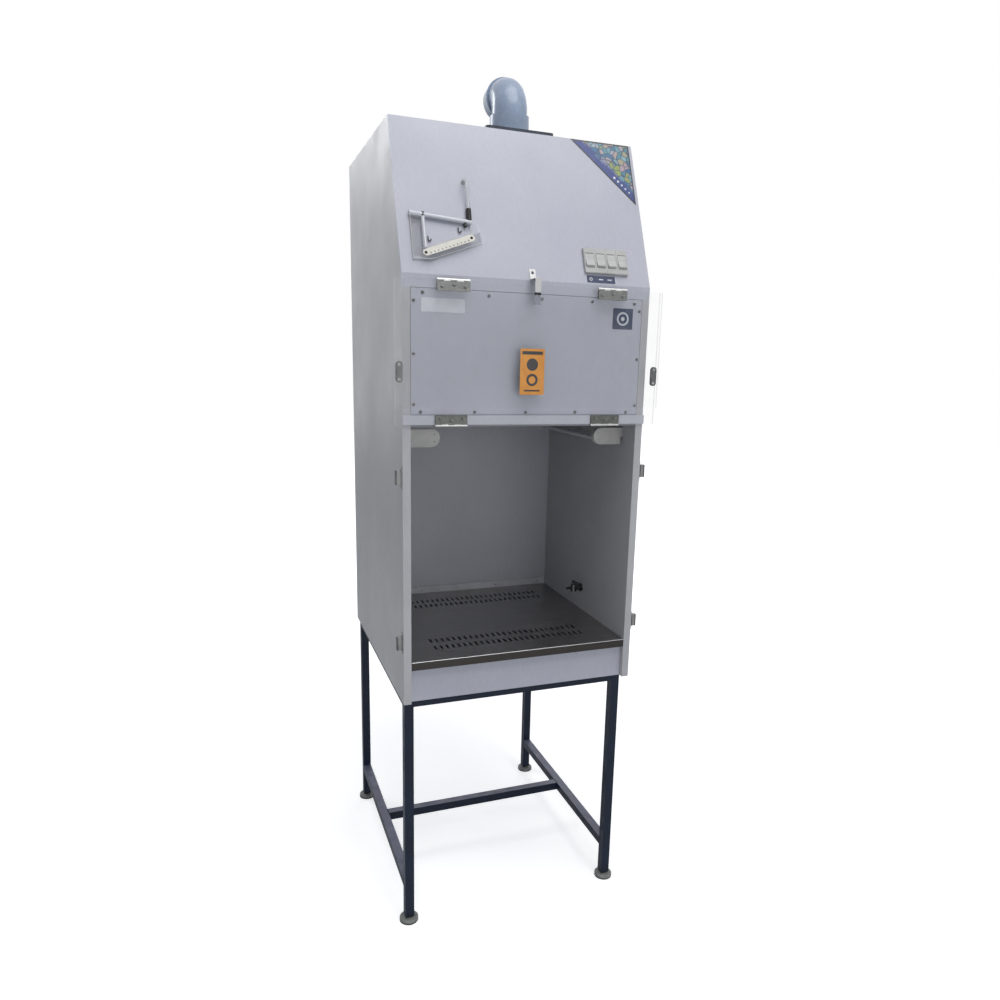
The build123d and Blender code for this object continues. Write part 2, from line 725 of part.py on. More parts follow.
def strike_plates(outer_y, centre_z):
    """The pair of oval steel strikes at a leaf's two ends, met by the catches when the door is shut."""
    with BuildPart() as strikes:
        with BuildSketch(Plane.XZ.offset(-outer_y)):
            with Locations((-strike_x, centre_z), (strike_x, centre_z)):
                SlotOverall(strike_height, strike_width, rotation=90)
        extrude(amount=strike_thickness)
    return strikes


save(strike_plates(upper_leaf_front, upper_strike_z), "upper_strike_plates")
save(strike_plates(lower_leaf_back + strike_thickness, lower_strike_z), "lower_strike_plates")

catch_y = (front + leaf_gap + pole_gap, front + leaf_gap + pole_gap + catch_depth)
catch_places = [(side, z) for side in (-1, 1) for z in (upper_catch_z, lower_catch_z)]
with BuildPart() as catch_housings:
    for side, z in catch_places:
        block(both_sides(half_width, half_width + catch_flange, side), catch_y,
              (z - catch_flange_height / 2, z + catch_flange_height / 2))
        block(both_sides(half_width + catch_flange + pole_thickness, half_width + catch_flange + catch_reach
                         - pole_thickness, side), (catch_y[0] + pole_gap, catch_y[1]),
              (z - catch_body_height / 2, z + catch_body_height / 2))
        block(both_sides(half_width + catch_flange, half_width + catch_flange + pole_thickness, side),
              (catch_y[1] - pole_thickness, catch_y[1]), (z - catch_body_height / 2, z + catch_body_height / 2))
save(catch_housings, "catch_housings")

with BuildPart() as catch_pole_plates:
    for side, z in catch_places:
        for out, reach in ((catch_flange, -pole_thickness), (catch_flange + catch_reach - pole_thickness, 0)):
            block(both_sides(half_width + out, half_width + out + pole_thickness, side),
                  (catch_y[0], catch_y[1] + reach), (z - catch_body_height / 2, z + catch_body_height / 2))
save(catch_pole_plates, "catch_pole_plates")

# ---------------------------------------------------------------- holding strap
strap_half = strap_width / 2
barrel_inner = strap_barrel_radius - strap_barrel_wall
strap_knuckle = strap_width / 3
with BuildPart() as strap_bracket:
    block((-strap_half, strap_half), (lower_leaf_front - strap_thickness, lower_leaf_front),
          (strap_axis_z - strap_base_height, strap_axis_z - strap_barrel_radius - 0.5))
    for start in (-strap_half, strap_half - strap_knuckle):
        rod((start, strap_axis_y, strap_axis_z), (1, 0, 0), strap_barrel_radius, strap_knuckle)
        block((start, start + strap_knuckle), (lower_leaf_front - strap_thickness, lower_leaf_front),
              (strap_axis_z - strap_barrel_radius - 0.5, strap_axis_z))
    rod((-strap_half, strap_axis_y, strap_axis_z), (1, 0, 0), barrel_inner, strap_width)
save(strap_bracket, "strap_bracket")

with BuildPart() as holding_strap:
    outer_y = strap_axis_y - strap_barrel_radius
    inner_y = outer_y + strap_thickness
    turn_z = strap_axis_z + strap_rise
    slope_gap = strap_stand_off / slope_cos
    rise = turn_z - kink
    tab_foot_y = front + rise * tan(radians(slope_angle)) - slope_gap
    back_off = strap_thickness / slope_cos
    tab_top = (tab_foot_y + strap_tab_length * slope_sin, turn_z + strap_tab_length * slope_cos)
    with BuildSketch(Plane.YZ.offset(-strap_half)):
        with BuildLine():
            Polyline(
                (outer_y, strap_axis_z),
                (outer_y, turn_z + strap_thickness),
                (tab_foot_y - back_off + strap_thickness * tan(radians(slope_angle)), turn_z + strap_thickness),
                (tab_top[0] - back_off, tab_top[1]),
                tab_top,
                (tab_foot_y, turn_z),
                (inner_y, turn_z),
                (inner_y, strap_axis_z),
                close=True,
            )
        make_face()
    extrude(amount=strap_width)
    gap = knuckle_gap
    rod((-strap_half + strap_knuckle + gap, strap_axis_y, strap_axis_z), (1, 0, 0), strap_barrel_radius,
        strap_knuckle - 2 * gap)
    for start in (-strap_half, strap_half - strap_knuckle - gap):
        block((start, start + strap_knuckle + gap), (outer_y, inner_y + strap_barrel_radius),
              (strap_axis_z - 1, strap_axis_z + strap_barrel_radius + gap), Mode.SUBTRACT)
    rod((-strap_half, strap_axis_y, strap_axis_z), (1, 0, 0), barrel_inner + hinge_pin_fit, strap_width,
        Mode.SUBTRACT)
    with BuildSketch(slope_plane):
        with Locations((0, strap_hole_up)):
            Circle(strap_hole_radius)
    extrude(amount=2 * strap_thickness + strap_stand_off, mode=Mode.SUBTRACT)
save(holding_strap, "holding_strap")

with BuildPart() as strap_stud:
    stud_plane = slope_plane.offset(-front_board)
    with BuildSketch(stud_plane):
        with Locations((0, strap_hole_up)):
            Circle(strap_stud_radius)
    extrude(amount=front_board + strap_stud_height)
    chamfer(strap_stud.edges().sort_by(Axis.Y)[0], length=strap_stud_radius / 4)
save(strap_stud, "strap_stud")

# ---------------------------------------------------------------- rocker switches
switch_pitch = switch_plate_width / switch_count
rocker_sink = rocker_face - 0.5  # pivot axis below the plate's face
pivot_out = switch_plate_thickness - rocker_sink
switch_places = [switch_plate_right + (i - (switch_count - 1) / 2) * switch_pitch for i in range(switch_count)]
well_half = rocker_radius + rocker_gap
with BuildPart() as switch_plate:
    with BuildSketch(slope_plane):
        with Locations((switch_plate_right, switch_plate_up)):
            RectangleRounded(switch_plate_width, switch_plate_height, 3)
    extrude(amount=switch_plate_thickness)
    chamfer(switch_plate.faces().sort_by(off_slope)[-1].edges(), length=1.2)
    with BuildSketch(slope_plane):
        with Locations((switch_plate_right, switch_plate_up)):
            Rectangle(switch_plate_width - 2 * switch_box_wall - 0.4, switch_plate_height - 2 * switch_box_wall - 0.4)
    extrude(amount=-switch_well_depth)
    for x in switch_places:
        with BuildSketch(slope_plane.offset(switch_plate_thickness)):
            with Locations((x, switch_plate_up)):
                Rectangle(rocker_width + 2 * rocker_gap, 2 * well_half)
        extrude(amount=-switch_plate_thickness - switch_well_depth + switch_box_wall, mode=Mode.SUBTRACT)
        with BuildSketch(Plane(origin=slope_plane.from_local_coords((x - rocker_width / 2 - rocker_gap,
                                                                    switch_plate_up, pivot_out)),
                               x_dir=slope_plane.y_dir, z_dir=(1, 0, 0))):
            Circle(rocker_pin_radius)
        extrude(amount=rocker_width + 2 * rocker_gap)
save(switch_plate, "switch_plate")


def rocker(x):
    """A rocker key, resting with its lower end out. Its section turns about the pivot pin."""
    tilt = rocker_throw / 2
    pivot = slope_plane.from_local_coords((x - rocker_width / 2, switch_plate_up, pivot_out))
    along = slope_plane.y_dir * cos(radians(tilt)) - slope_plane.z_dir * sin(radians(tilt))
    end_rise = rocker_face + rocker_radius * tan(radians(tilt))
    with BuildPart() as key:
        with BuildSketch(Plane(origin=pivot, x_dir=along, z_dir=(1, 0, 0))):
            with BuildLine():
                Polyline(
                    (-rocker_radius, -rocker_back),
                    (-rocker_radius, end_rise),
                    (0, rocker_face),
                    (rocker_radius, end_rise),
                    (rocker_radius, -rocker_back),
                    close=True,
                )
            make_face()
            Circle(rocker_radius, mode=Mode.INTERSECT)
            Circle(rocker_pin_radius + shaft_fit, mode=Mode.SUBTRACT)
        extrude(amount=rocker_width)
    return key


for number, x in enumerate(switch_places, start=1):
    save(rocker(x), f"switch_rocker_{number}")

# ---------------------------------------------------------------- inclined manometer and its hose
tilt_rise = tan(radians(manometer_tilt))
limb_height = manometer_limb_height / cos(radians(manometer_tilt))
stem_right = manometer_left + manometer_stem_width
block_right = manometer_block_left + manometer_block_width


def limb_bottom(x):
    """How far up the slope the inclined limb's lower edge is."""
    return manometer_bottom + (x - manometer_left - manometer_base) * tilt_rise


def limb_top(x):
    """How far up the slope the inclined limb's upper edge is."""
    return limb_bottom(x) + limb_height


def tube_centre(x):
    """How far up the slope the top tube's centre line is."""
    return top_tube_up - (x - manometer_left) * tan(radians(top_tube_drop))


def under_tube(x):
    """How far up the slope the faces that carry the top tube are."""
    return tube_centre(x) - top_tube_radius / cos(radians(top_tube_drop)) - shaft_fit


with BuildPart() as manometer_body:
    limb_end = manometer_left + manometer_length
    with BuildSketch(slope_plane):
        with BuildLine():
            Polyline(
                (manometer_left, manometer_bottom),
                (manometer_left + manometer_base, manometer_bottom),
                (limb_end, limb_bottom(limb_end)),
                (limb_end, limb_top(limb_end)),
                (block_right, limb_top(block_right)),
                (block_right, under_tube(block_right)),
                (manometer_block_left, under_tube(manometer_block_left)),
                (manometer_block_left, limb_top(manometer_block_left)),
                (stem_right, limb_top(stem_right)),
                (stem_right, under_tube(stem_right)),
                (manometer_left, under_tube(manometer_left)),
                close=True,
            )
        make_face()
    extrude(amount=manometer_thickness)
    chamfer(manometer_body.faces().sort_by(off_slope)[-1].edges(), length=1)
save(manometer_body, "manometer_body")

scale_start = stem_right - scale_width / 4
with BuildPart() as manometer_scale:
    scale_foot = slope_plane.from_local_coords((scale_start, limb_top(scale_start) - limb_height * 0.4,
                                                manometer_thickness))
    scale_along = slope_plane.x_dir + slope_plane.y_dir * tilt_rise
    with BuildSketch(Plane(origin=scale_foot, x_dir=scale_along, z_dir=slope_plane.z_dir)):
        with Locations((scale_length / 2, 0)):
            SlotOverall(scale_length, scale_width)
    extrude(amount=scale_thickness)
save(manometer_scale, "manometer_scale")

tube_level = manometer_thickness / 2
with BuildPart() as manometer_top_tube:
    tube_start = slope_plane.from_local_coords((manometer_left, tube_centre(manometer_left), tube_level))
    tube_end_x = manometer_left + top_tube_length
    tube_end = slope_plane.from_local_coords((tube_end_x, tube_centre(tube_end_x), tube_level))
    rod(tuple(tube_start), tuple(tube_end - tube_start), top_tube_radius, (tube_end - tube_start).length)
    side_tube_x = stem_right + side_tube_radius + knuckle_gap
    side_tube_foot = limb_top(side_tube_x + side_tube_radius) + knuckle_gap
    rod(tuple(slope_plane.from_local_coords((side_tube_x, side_tube_foot, tube_level))), tuple(slope_plane.y_dir),
        side_tube_radius, tube_centre(side_tube_x) - side_tube_foot)
    port_foot = slope_plane.from_local_coords((hose_port_right, tube_centre(hose_port_right), tube_level))
    rod(tuple(port_foot), tuple(slope_plane.y_dir), hose_port_radius, top_tube_radius + hose_port_length)
save(manometer_top_tube, "manometer_top_tube")


def fillet_radii(points, share=0.45):
    """For each corner of a route, the largest tangent radius that its two runs allow."""
    radii = []
    for before, corner, after in zip(points, points[1:], points[2:]):
        into, out = corner - before, after - corner
        turn = radians(into.get_angle(out))
        radii.append(share * min(into.length, out.length) / tan(turn / 2))
    return radii


with BuildPart() as pressure_hose:
    port_top = tube_centre(hose_port_right) + top_tube_radius
    route = [slope_plane.from_local_coords(place) for place in (
        (hose_port_right, port_top + 0.5, tube_level),
        (hose_port_right - 0.3, port_top + 20, tube_level),
        (hose_port_right - 1.4, port_top + 42, tube_level + 6),
        (hose_port_right - 3.0, hose_entry_up - 22, tube_level + 18),
        (hose_entry_right + 0.5, hose_entry_up - 4, tube_level + 15),
        (hose_entry_right, hose_entry_up, 2.0),
        (hose_entry_right, hose_entry_up + 0.3, -front_board + 1),
    )]
    with BuildLine() as hose_line:
        FilletPolyline(*route, radius=fillet_radii(route))
    with BuildSketch(Plane(origin=route[0], z_dir=route[1] - route[0])):
        Circle(hose_radius)
    sweep(path=hose_line.line)
    hose_inlet = route[0]
    rod(tuple(hose_inlet), tuple(route[1] - route[0]), hose_port_radius + socket_fit, hose_port_length,
        Mode.SUBTRACT)
save(pressure_hose, "pressure_hose")

# ---------------------------------------------------------------- gas cock
flange_x = inner_half - cock_flange
with BuildPart() as gas_cock_body:
    rod((inner_half, cock_y, cock_z), (-1, 0, 0), cock_flange_radius, cock_flange)
    rod((flange_x, cock_y, cock_z), (-1, 0, 0), cock_body_radius, cock_barrel_out)
    barrel_x = flange_x - cock_barrel_out
    rod((barrel_x, cock_y, cock_z - cock_barrel_height / 2), (0, 0, 1), cock_barrel_radius, cock_barrel_height)
    rod((barrel_x, cock_y, cock_z), (-1, 0, 0), cock_body_radius * 0.7, cock_reach - cock_barrel_out
        - cock_nozzle_length)
    rod((barrel_x, cock_y, cock_z), (-1, 0, 0), cock_nozzle_radius, cock_reach - cock_barrel_out)
    rod((inner_half, cock_y, cock_z), (1, 0, 0), cock_tail_radius, side_thickness)
    with BuildSketch(Plane.YZ.offset(half_width)):
        with Locations((cock_y, cock_z)):
            RegularPolygon(cock_nut_radius, 6)
    extrude(amount=cock_nut_height)
    rod((half_width + cock_nut_height, cock_y, cock_z), (1, 0, 0), cock_nozzle_radius,
        cock_tail_reach - cock_nut_height)
    rod((barrel_x, cock_y, cock_z + cock_barrel_height / 2), (0, 0, -1), cock_stem_radius + cock_stem_fit,
        cock_barrel_height * 0.75, Mode.SUBTRACT)
save(gas_cock_body, "gas_cock_body")

with BuildPart() as gas_cock_handle:
    stem_foot = cock_z + cock_barrel_height / 2 - cock_barrel_height * 0.7
    lever_z = stem_foot + cock_stem_length
    rod((barrel_x, cock_y, stem_foot), (0, 0, 1), cock_stem_radius, cock_stem_length)
    rod((barrel_x, cock_y, lever_z - 3), (0, 0, 1), cock_stem_radius + 2, 6)
    with BuildSketch(Plane.XZ.offset(-cock_y)):
        with Locations((barrel_x, lever_z)):
            Rectangle(2 * cock_stem_radius, 1.5 * cock_stem_radius)
    extrude(amount=cock_lever_length)
    rod((barrel_x, cock_y - cock_lever_length - cock_knob_radius, lever_z), (0, 1, 0), cock_knob_radius,
        1.5 * cock_knob_radius, sides=knob_sides)
save(gas_cock_handle, "gas_cock_handle")

# ---------------------------------------------------------------- lamp fittings
cap_x = (inner_half - lamp_cap_reach, inner_half - lamp_cap_wall_gap)
nose_radius = lamp_cap_height / 2
lamp_y = (front + lamp_front, chamber_back_face - panel_gap)
with BuildPart() as lamp_fittings:
    for side in (-1, 1):
        for start in (lamp_y[0], lamp_y[1] - lamp_cap_depth):
            with BuildSketch(Plane.XZ.offset(-start - lamp_cap_depth)):
                with Locations((side * (cap_x[0] + nose_radius), lamp_z)):
                    Circle(nose_radius)
                with Locations((side * (cap_x[0] + nose_radius + cap_x[1]) / 2, lamp_z)):
                    Rectangle(cap_x[1] - cap_x[0] - nose_radius, lamp_cap_height)
            extrude(amount=lamp_cap_depth)
        block(both_sides(inner_half - lamp_batten_width, inner_half, side), (lamp_y[0] + 4, lamp_y[1]),
              (lamp_z + nose_radius - lamp_batten_height, lamp_z + nose_radius))
save(lamp_fittings, "lamp_fittings")

with BuildPart() as lamp_tubes:
    for side in (-1, 1):
        rod((side * (inner_half - lamp_tube_out), lamp_y[0] + lamp_cap_depth, lamp_z - lamp_tube_drop), (0, 1, 0),
            lamp_tube_radius, lamp_y[1] - lamp_y[0] - 2 * lamp_cap_depth)
save(lamp_tubes, "lamp_tubes")

# ---------------------------------------------------------------- steel stand
leg_places = [(side * leg_x, y) for y in (front_leg_y, rear_leg_y) for side in (-1, 1)]
half_tube = tube / 2
bore_half = half_tube - tube_wall
with BuildPart() as stand_legs:
    for x, y in leg_places:
        block((x - half_tube, x + half_tube), (y - half_tube, y + half_tube), (leg_foot_height, base_height))
        block((x - bore_half, x + bore_half), (y - bore_half, y + bore_half),
              (leg_foot_height, base_height - tube_wall), Mode.SUBTRACT)
save(stand_legs, "stand_legs")

between_legs_x = (-leg_x + half_tube, leg_x - half_tube)
between_legs_y = (front_leg_y + half_tube, rear_leg_y - half_tube)


def square_tube(x, y, z, along):
    """An open-ended length of square tube between two limits on each axis."""
    block(x, y, z)
    limits = [x, y, z]
    inner = [pair if i == along else (pair[0] + tube_wall, pair[1] - tube_wall) for i, pair in enumerate(limits)]
    block(*inner, mode=Mode.SUBTRACT)


with BuildPart() as stand_rails:
    top_z = (base_height - tube, base_height)
    low_z = (stretcher_top - tube, stretcher_top)
    cross_y = front + cross_stretcher_depth
    for y in (front_leg_y, rear_leg_y):
        square_tube(between_legs_x, (y - half_tube, y + half_tube), top_z, 0)
    for x in (-leg_x, leg_x):
        for z in (top_z, low_z):
            square_tube((x - half_tube, x + half_tube), between_legs_y, z, 1)
    square_tube((between_legs_x[0] + weld_gap, between_legs_x[1] - weld_gap), (cross_y, cross_y + tube), low_z, 0)
save(stand_rails, "stand_rails")

insert_bottom = leg_foot_height - insert_flange
with BuildPart() as leg_inserts:
    for x, y in leg_places:
        plug = bore_half - insert_fit
        block((x - half_tube, x + half_tube), (y - half_tube, y + half_tube), (insert_bottom, leg_foot_height))
        block((x - plug, x + plug), (y - plug, y + plug), (leg_foot_height, leg_foot_height + insert_depth))
        rod((x, y, insert_bottom), (0, 0, 1), foot_stud_radius + foot_stud_fit, insert_flange + insert_depth,
            Mode.SUBTRACT)
save(leg_inserts, "leg_inserts")


def levelling_foot(x, y):
    """A screw-in levelling foot: a round pad on a stud."""
    with BuildPart() as foot:
        rod((x, y, 0), (0, 0, 1), foot_radius, foot_height)
        chamfer(foot.edges().group_by(Axis.Z)[-1], length=foot_chamfer)
        rod((x, y, foot_height), (0, 0, 1), foot_stud_radius, foot_stud_length)
    return foot


foot_names = ("foot_front_left", "foot_front_right", "foot_rear_left", "foot_rear_right")
for foot_name, (x, y) in zip(foot_names, leg_places):
    save(levelling_foot(x, y), foot_name)
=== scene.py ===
"""Looks for the laminar-flow biosafety cabinet: finishes, fastenings, plates, marks, lights and camera."""
import math

import bmesh
import bpy
from mathutils import Matrix, Vector


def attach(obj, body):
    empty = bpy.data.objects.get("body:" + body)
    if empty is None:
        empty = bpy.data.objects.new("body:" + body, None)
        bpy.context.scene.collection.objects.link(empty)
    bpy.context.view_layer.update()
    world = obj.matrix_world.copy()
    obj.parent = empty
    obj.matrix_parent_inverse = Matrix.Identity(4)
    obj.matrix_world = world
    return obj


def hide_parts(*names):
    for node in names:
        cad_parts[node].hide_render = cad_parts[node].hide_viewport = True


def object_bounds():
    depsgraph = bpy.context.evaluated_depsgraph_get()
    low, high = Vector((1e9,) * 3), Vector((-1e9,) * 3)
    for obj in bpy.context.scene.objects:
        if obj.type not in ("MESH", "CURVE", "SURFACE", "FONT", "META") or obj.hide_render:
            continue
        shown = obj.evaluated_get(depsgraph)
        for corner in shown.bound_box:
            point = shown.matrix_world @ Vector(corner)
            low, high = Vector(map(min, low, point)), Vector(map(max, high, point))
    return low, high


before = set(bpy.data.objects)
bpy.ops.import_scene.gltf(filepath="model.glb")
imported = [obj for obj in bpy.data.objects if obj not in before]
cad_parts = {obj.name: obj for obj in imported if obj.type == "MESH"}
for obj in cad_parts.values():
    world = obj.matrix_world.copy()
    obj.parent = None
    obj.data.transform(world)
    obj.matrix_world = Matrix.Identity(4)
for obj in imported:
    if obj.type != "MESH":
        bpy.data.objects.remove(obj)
cad_low, cad_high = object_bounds()
MM = 0.001
TAU = math.tau

# ---------------------------------------------------------------- places read from the solids, in metres
def span(node):
    """The least and greatest X, Y and Z that a solid reaches."""
    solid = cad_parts[node]
    corners = [solid.matrix_world @ vertex.co for vertex in solid.data.vertices]
    return tuple((min(c[i] for c in corners), max(c[i] for c in corners)) for i in range(3))


PANEL = span("service_panel")
SLOPED = span("sloped_fascia")
TRAY_SPAN = span("work_tray")
LEG_SPAN = span("stand_legs")
RAIL_SPAN = span("stand_rails")
FRONT = PANEL[1][0]
HALF_WIDTH = SLOPED[0][1]
PANEL_GAP = 1 * MM
INNER_HALF = PANEL[0][1] + PANEL_GAP
KINK = SLOPED[2][0]
SILL = PANEL[2][0] - PANEL_GAP
PANEL_TOP = PANEL[2][1] + PANEL_GAP
SLOPE_RUN, SLOPE_RISE = 146, 371
SLOPE = math.atan2(SLOPE_RUN, SLOPE_RISE)
SLOPE_OUT = Vector((0, -math.cos(SLOPE), math.sin(SLOPE)))
SLOPE_UP = Vector((0, math.sin(SLOPE), math.cos(SLOPE)))
LEAF_PITCH = 339 * MM
RAIL_AXIS = (FRONT - 9.5 * MM, SILL - 25 * MM)
FOLD_AXIS = (FRONT - 21.5 * MM, RAIL_AXIS[1] + LEAF_PITCH)
UPPER_FACE = span("door_upper_leaf")[1][0]
LOWER_FACE = span("door_lower_leaf")[1][0]
STRAP_AXIS = (LOWER_FACE - 2.8 * MM, FOLD_AXIS[1] - 21 * MM)
# corners of the printed triangle: mm from the cabinet's left face, mm up the slope
TRIANGLE = ((474, 398), (642, 229), (642, 398))
TOWARDS_USER = Vector((0, -1, 0))
UP = Vector((0, 0, 1))
RIGHT = Vector((1, 0, 0))


def on_slope(x, s, off=0.0):
    """A point on the sloped fascia: right of the middle, up from the kink and off the board, in mm."""
    return Vector((x * MM, FRONT, KINK)) + SLOPE_UP * (s * MM) + SLOPE_OUT * (off * MM)


# ---------------------------------------------------------------- finishes
def colour(code):
    """A colour written as six hex digits, as the shader wants it."""
    parts = [int(code[i:i + 2], 16) / 255 for i in (0, 2, 4)]
    return tuple(c / 12.92 if c <= 0.04045 else ((c + 0.055) / 1.055) ** 2.4 for c in parts) + (1.0,)


class Finish:
    """A surface finish built from shader nodes on object coordinates."""

    def __init__(self, name, rough=0.5, metal=0.0, **sockets):
        self.material = bpy.data.materials.new(name)
        self.material.use_nodes = True
        self.nodes = self.material.node_tree.nodes
        self.links = self.material.node_tree.links
        self.shader = self.nodes["Principled BSDF"]
        self.shader.inputs["Roughness"].default_value = rough
        self.shader.inputs["Metallic"].default_value = metal
        for socket, value in sockets.items():
            self.shader.inputs[socket.replace("_", " ")].default_value = value
        self.where = self.nodes.new("ShaderNodeTexCoord").outputs["Object"]

    def put(self, kind, inputs=None, **settings):
        """A new node, with some of its inputs fed and its settings made."""
        node = self.nodes.new(kind)
        for key, value in settings.items():
            setattr(node, key, value)
        for key, value in (inputs or {}).items():
            self.feed(value, node.inputs[key])
        return node

    def wire(self, source, target):
        self.links.new(source, target)

    def feed(self, value, socket):
        """Gives a socket a number, a vector, a colour in hex digits or another node's result."""
        if isinstance(value, str):
            socket.default_value = colour(value)
        elif isinstance(value, (int, float, tuple, list)):
            socket.default_value = value
        else:
            self.wire(value, socket)

    def stretched(self, scale, shift=(0, 0, 0)):
        return self.put("ShaderNodeMapping", {"Scale": scale, "Location": shift, "Vector": self.where}).outputs[0]

    def noise(self, scale, detail=4.0, rough=0.55, warp=0.0, vector=None):
        return self.put("ShaderNodeTexNoise", {"Scale": scale, "Detail": detail, "Roughness": rough,
                                               "Distortion": warp, "Vector": vector or self.where}).outputs["Fac"]

    def cells(self, scale, feature="F1", output="Distance"):
        return self.put("ShaderNodeTexVoronoi", {"Scale": scale, "Vector": self.where}, feature=feature).outputs[output]

    def ramp(self, factor, *stops):
        node = self.put("ShaderNodeValToRGB")
        points = node.color_ramp.elements
        while len(points) < len(stops):
            points.new(0.5)
        for point, (place, shade) in zip(points, stops):
            point.position = place
            point.color = colour(shade) if isinstance(shade, str) else (shade, shade, shade, 1.0)
        self.wire(factor, node.inputs["Fac"])
        return node.outputs["Color"]

    def blend(self, factor, first, second, mode="MIX"):
        return self.put("ShaderNodeMix", {0: factor, 6: first, 7: second}, data_type="RGBA",
                        blend_type=mode).outputs[2]

    def maths(self, operation, first, second=0.0):
        return self.put("ShaderNodeMath", {0: first, 1: second}, operation=operation).outputs[0]

    def axis(self, name):
        return self.put("ShaderNodeSeparateXYZ", {0: self.where}).outputs[name]

    def facing(self, direction):
        """How squarely a face looks along a direction, from -1 to 1."""
        normal = self.put("ShaderNodeTexCoord").outputs["Normal"]
        return self.put("ShaderNodeVectorMath", {0: normal, 1: tuple(direction)},
                        operation="DOT_PRODUCT").outputs["Value"]

    def paint(self, source):
        self.wire(source, self.shader.inputs["Base Color"])

    def roughen(self, source):
        self.wire(source, self.shader.inputs["Roughness"])

    def bump(self, height, strength, distance=0.0005):
        node = self.put("ShaderNodeBump", {"Strength": strength, "Distance": distance, "Height": height})
        if self.shader.inputs["Normal"].is_linked:
            self.wire(self.shader.inputs["Normal"].links[0].from_socket, node.inputs["Normal"])
        self.wire(node.outputs["Normal"], self.shader.inputs["Normal"])


def laminate(name, light, dark, grain=(5, 5, 1.2)):
    """Decorative laminate: a faint suede grain, a slight drift of tone and handling marks."""
    f = Finish(name, rough=0.42, Specular_IOR_Level=0.42)
    drift = f.ramp(f.noise(2.2, 3, 0.5), (0.35, dark), (0.68, light))
    streak = f.ramp(f.noise(38, 3, 0.6, vector=f.stretched(grain)), (0.3, 0.93), (0.75, 1.0))
    speck = f.ramp(f.noise(900, 2, 0.5), (0.36, 0.955), (0.6, 1.0))
    f.paint(f.blend(1.0, f.blend(1.0, drift, streak, "MULTIPLY"), speck, "MULTIPLY"))
    f.roughen(f.ramp(f.noise(7, 4, 0.6), (0.3, 0.36), (0.7, 0.52)))
    f.bump(f.noise(1300, 2, 0.5), 0.22, 0.0002)
    return f.material


def brushed(name, light, dark, along, rough=0.32, metal=1.0):
    """Brushed or rolled metal, with its grain along one axis."""
    f = Finish(name, rough=rough, metal=metal)
    grain = [900, 900, 900]
    grain["XYZ".index(along)] = 9
    lines = f.noise(1.0, 3, 0.6, vector=f.stretched(grain))
    cloud = f.noise(9, 4, 0.6)
    f.paint(f.blend(0.35, f.ramp(lines, (0.3, dark), (0.72, light)), f.ramp(cloud, (0.35, dark), (0.7, light))))
    f.roughen(f.ramp(cloud, (0.3, rough - 0.07), (0.72, rough + 0.12)))
    f.bump(lines, 0.12, 0.0002)
    return f.material


def hinge_metal(name, light, dark, axis, knuckle_highlight_and_tone="C9C9C8", reach=4.3):
    """Rolled plate, dull with handling, with another tone on its knuckles, within a reach in mm of the pin; the pale
    default tone is a painted highlight.
    """
    f = Finish(name, rough=0.45, metal=1.0)
    lines = f.noise(1.0, 3, 0.6, vector=f.stretched((9, 900, 900)))
    blotch = f.noise(95, 5, 0.7)
    plate = f.blend(0.6, f.ramp(lines, (0.3, dark), (0.72, light)), f.ramp(blotch, (0.32, dark), (0.7, light)))
    from_pin = f.put("ShaderNodeVectorMath", {0: f.stretched((0, 1, 1), shift=(0, -axis[0], -axis[1]))},
                     operation="LENGTH")
    # Near the pin the knuckle colour is painted in: pale by default as a painted highlight; the strap passes its own
    # dark barrel tone.
    f.paint(f.blend(f.maths("LESS_THAN", from_pin.outputs["Value"], reach * MM), plate, knuckle_highlight_and_tone))
    f.roughen(f.ramp(blotch, (0.3, 0.36), (0.72, 0.56)))
    f.bump(blotch, 0.15, 0.0003)
    return f.material


def plated(name, light, dark, rough=0.16):
    """Bright plating with faint tarnish."""
    f = Finish(name, rough=rough, metal=1.0)
    f.paint(f.ramp(f.noise(60, 4, 0.6), (0.3, dark), (0.65, light)))
    f.roughen(f.ramp(f.noise(140, 4, 0.7), (0.35, rough), (0.75, rough + 0.16)))
    f.bump(f.noise(700, 2, 0.5), 0.05, 0.0002)
    return f.material


def moulded(name, light, dark, rough=0.35, pebble=0.12, scale=500):
    """Moulded plastic, lightly textured."""
    f = Finish(name, rough=rough, Specular_IOR_Level=0.45)
    f.paint(f.ramp(f.noise(25, 4, 0.6), (0.3, dark), (0.7, light)))
    f.roughen(f.ramp(f.noise(60, 3, 0.6), (0.3, rough - 0.06), (0.7, rough + 0.1)))
    f.bump(f.noise(scale, 2, 0.5), pebble, 0.0002)
    return f.material


def coated(name, light, dark, worn, rough=0.38, specular=0.5, top_sky_reflection=None):
    """Brushed-on enamel over steel: orange peel, a few rubbed spots and, on upward faces, a painted reflection of the
    sky.
    """
    f = Finish(name, rough=rough, Specular_IOR_Level=specular)
    tone = f.ramp(f.noise(14, 5, 0.6), (0.3, dark), (0.72, light))
    rubbed = f.ramp(f.noise(55, 6, 0.75, warp=0.4), (0.66, 0.0), (0.74, 1.0))
    tone = f.blend(f.maths("MULTIPLY", rubbed, 0.5), tone, worn)
    if top_sky_reflection:
        # Upward faces are blended towards a patchy lighter tone: a painted reflection of the sky on their tops.
        upward = f.maths("GREATER_THAN", f.facing(UP), 0.7)
        patchy = f.ramp(f.noise(24, 4, 0.6), (0.25, 0.45), (0.75, 0.75))
        tone = f.blend(f.maths("MULTIPLY", upward, patchy), tone, top_sky_reflection)
    f.paint(tone)
    f.roughen(f.ramp(f.noise(30, 4, 0.6), (0.3, rough - 0.08), (0.75, rough + 0.2)))
    f.bump(f.noise(240, 3, 0.5), 0.25, 0.0004)
    return f.material


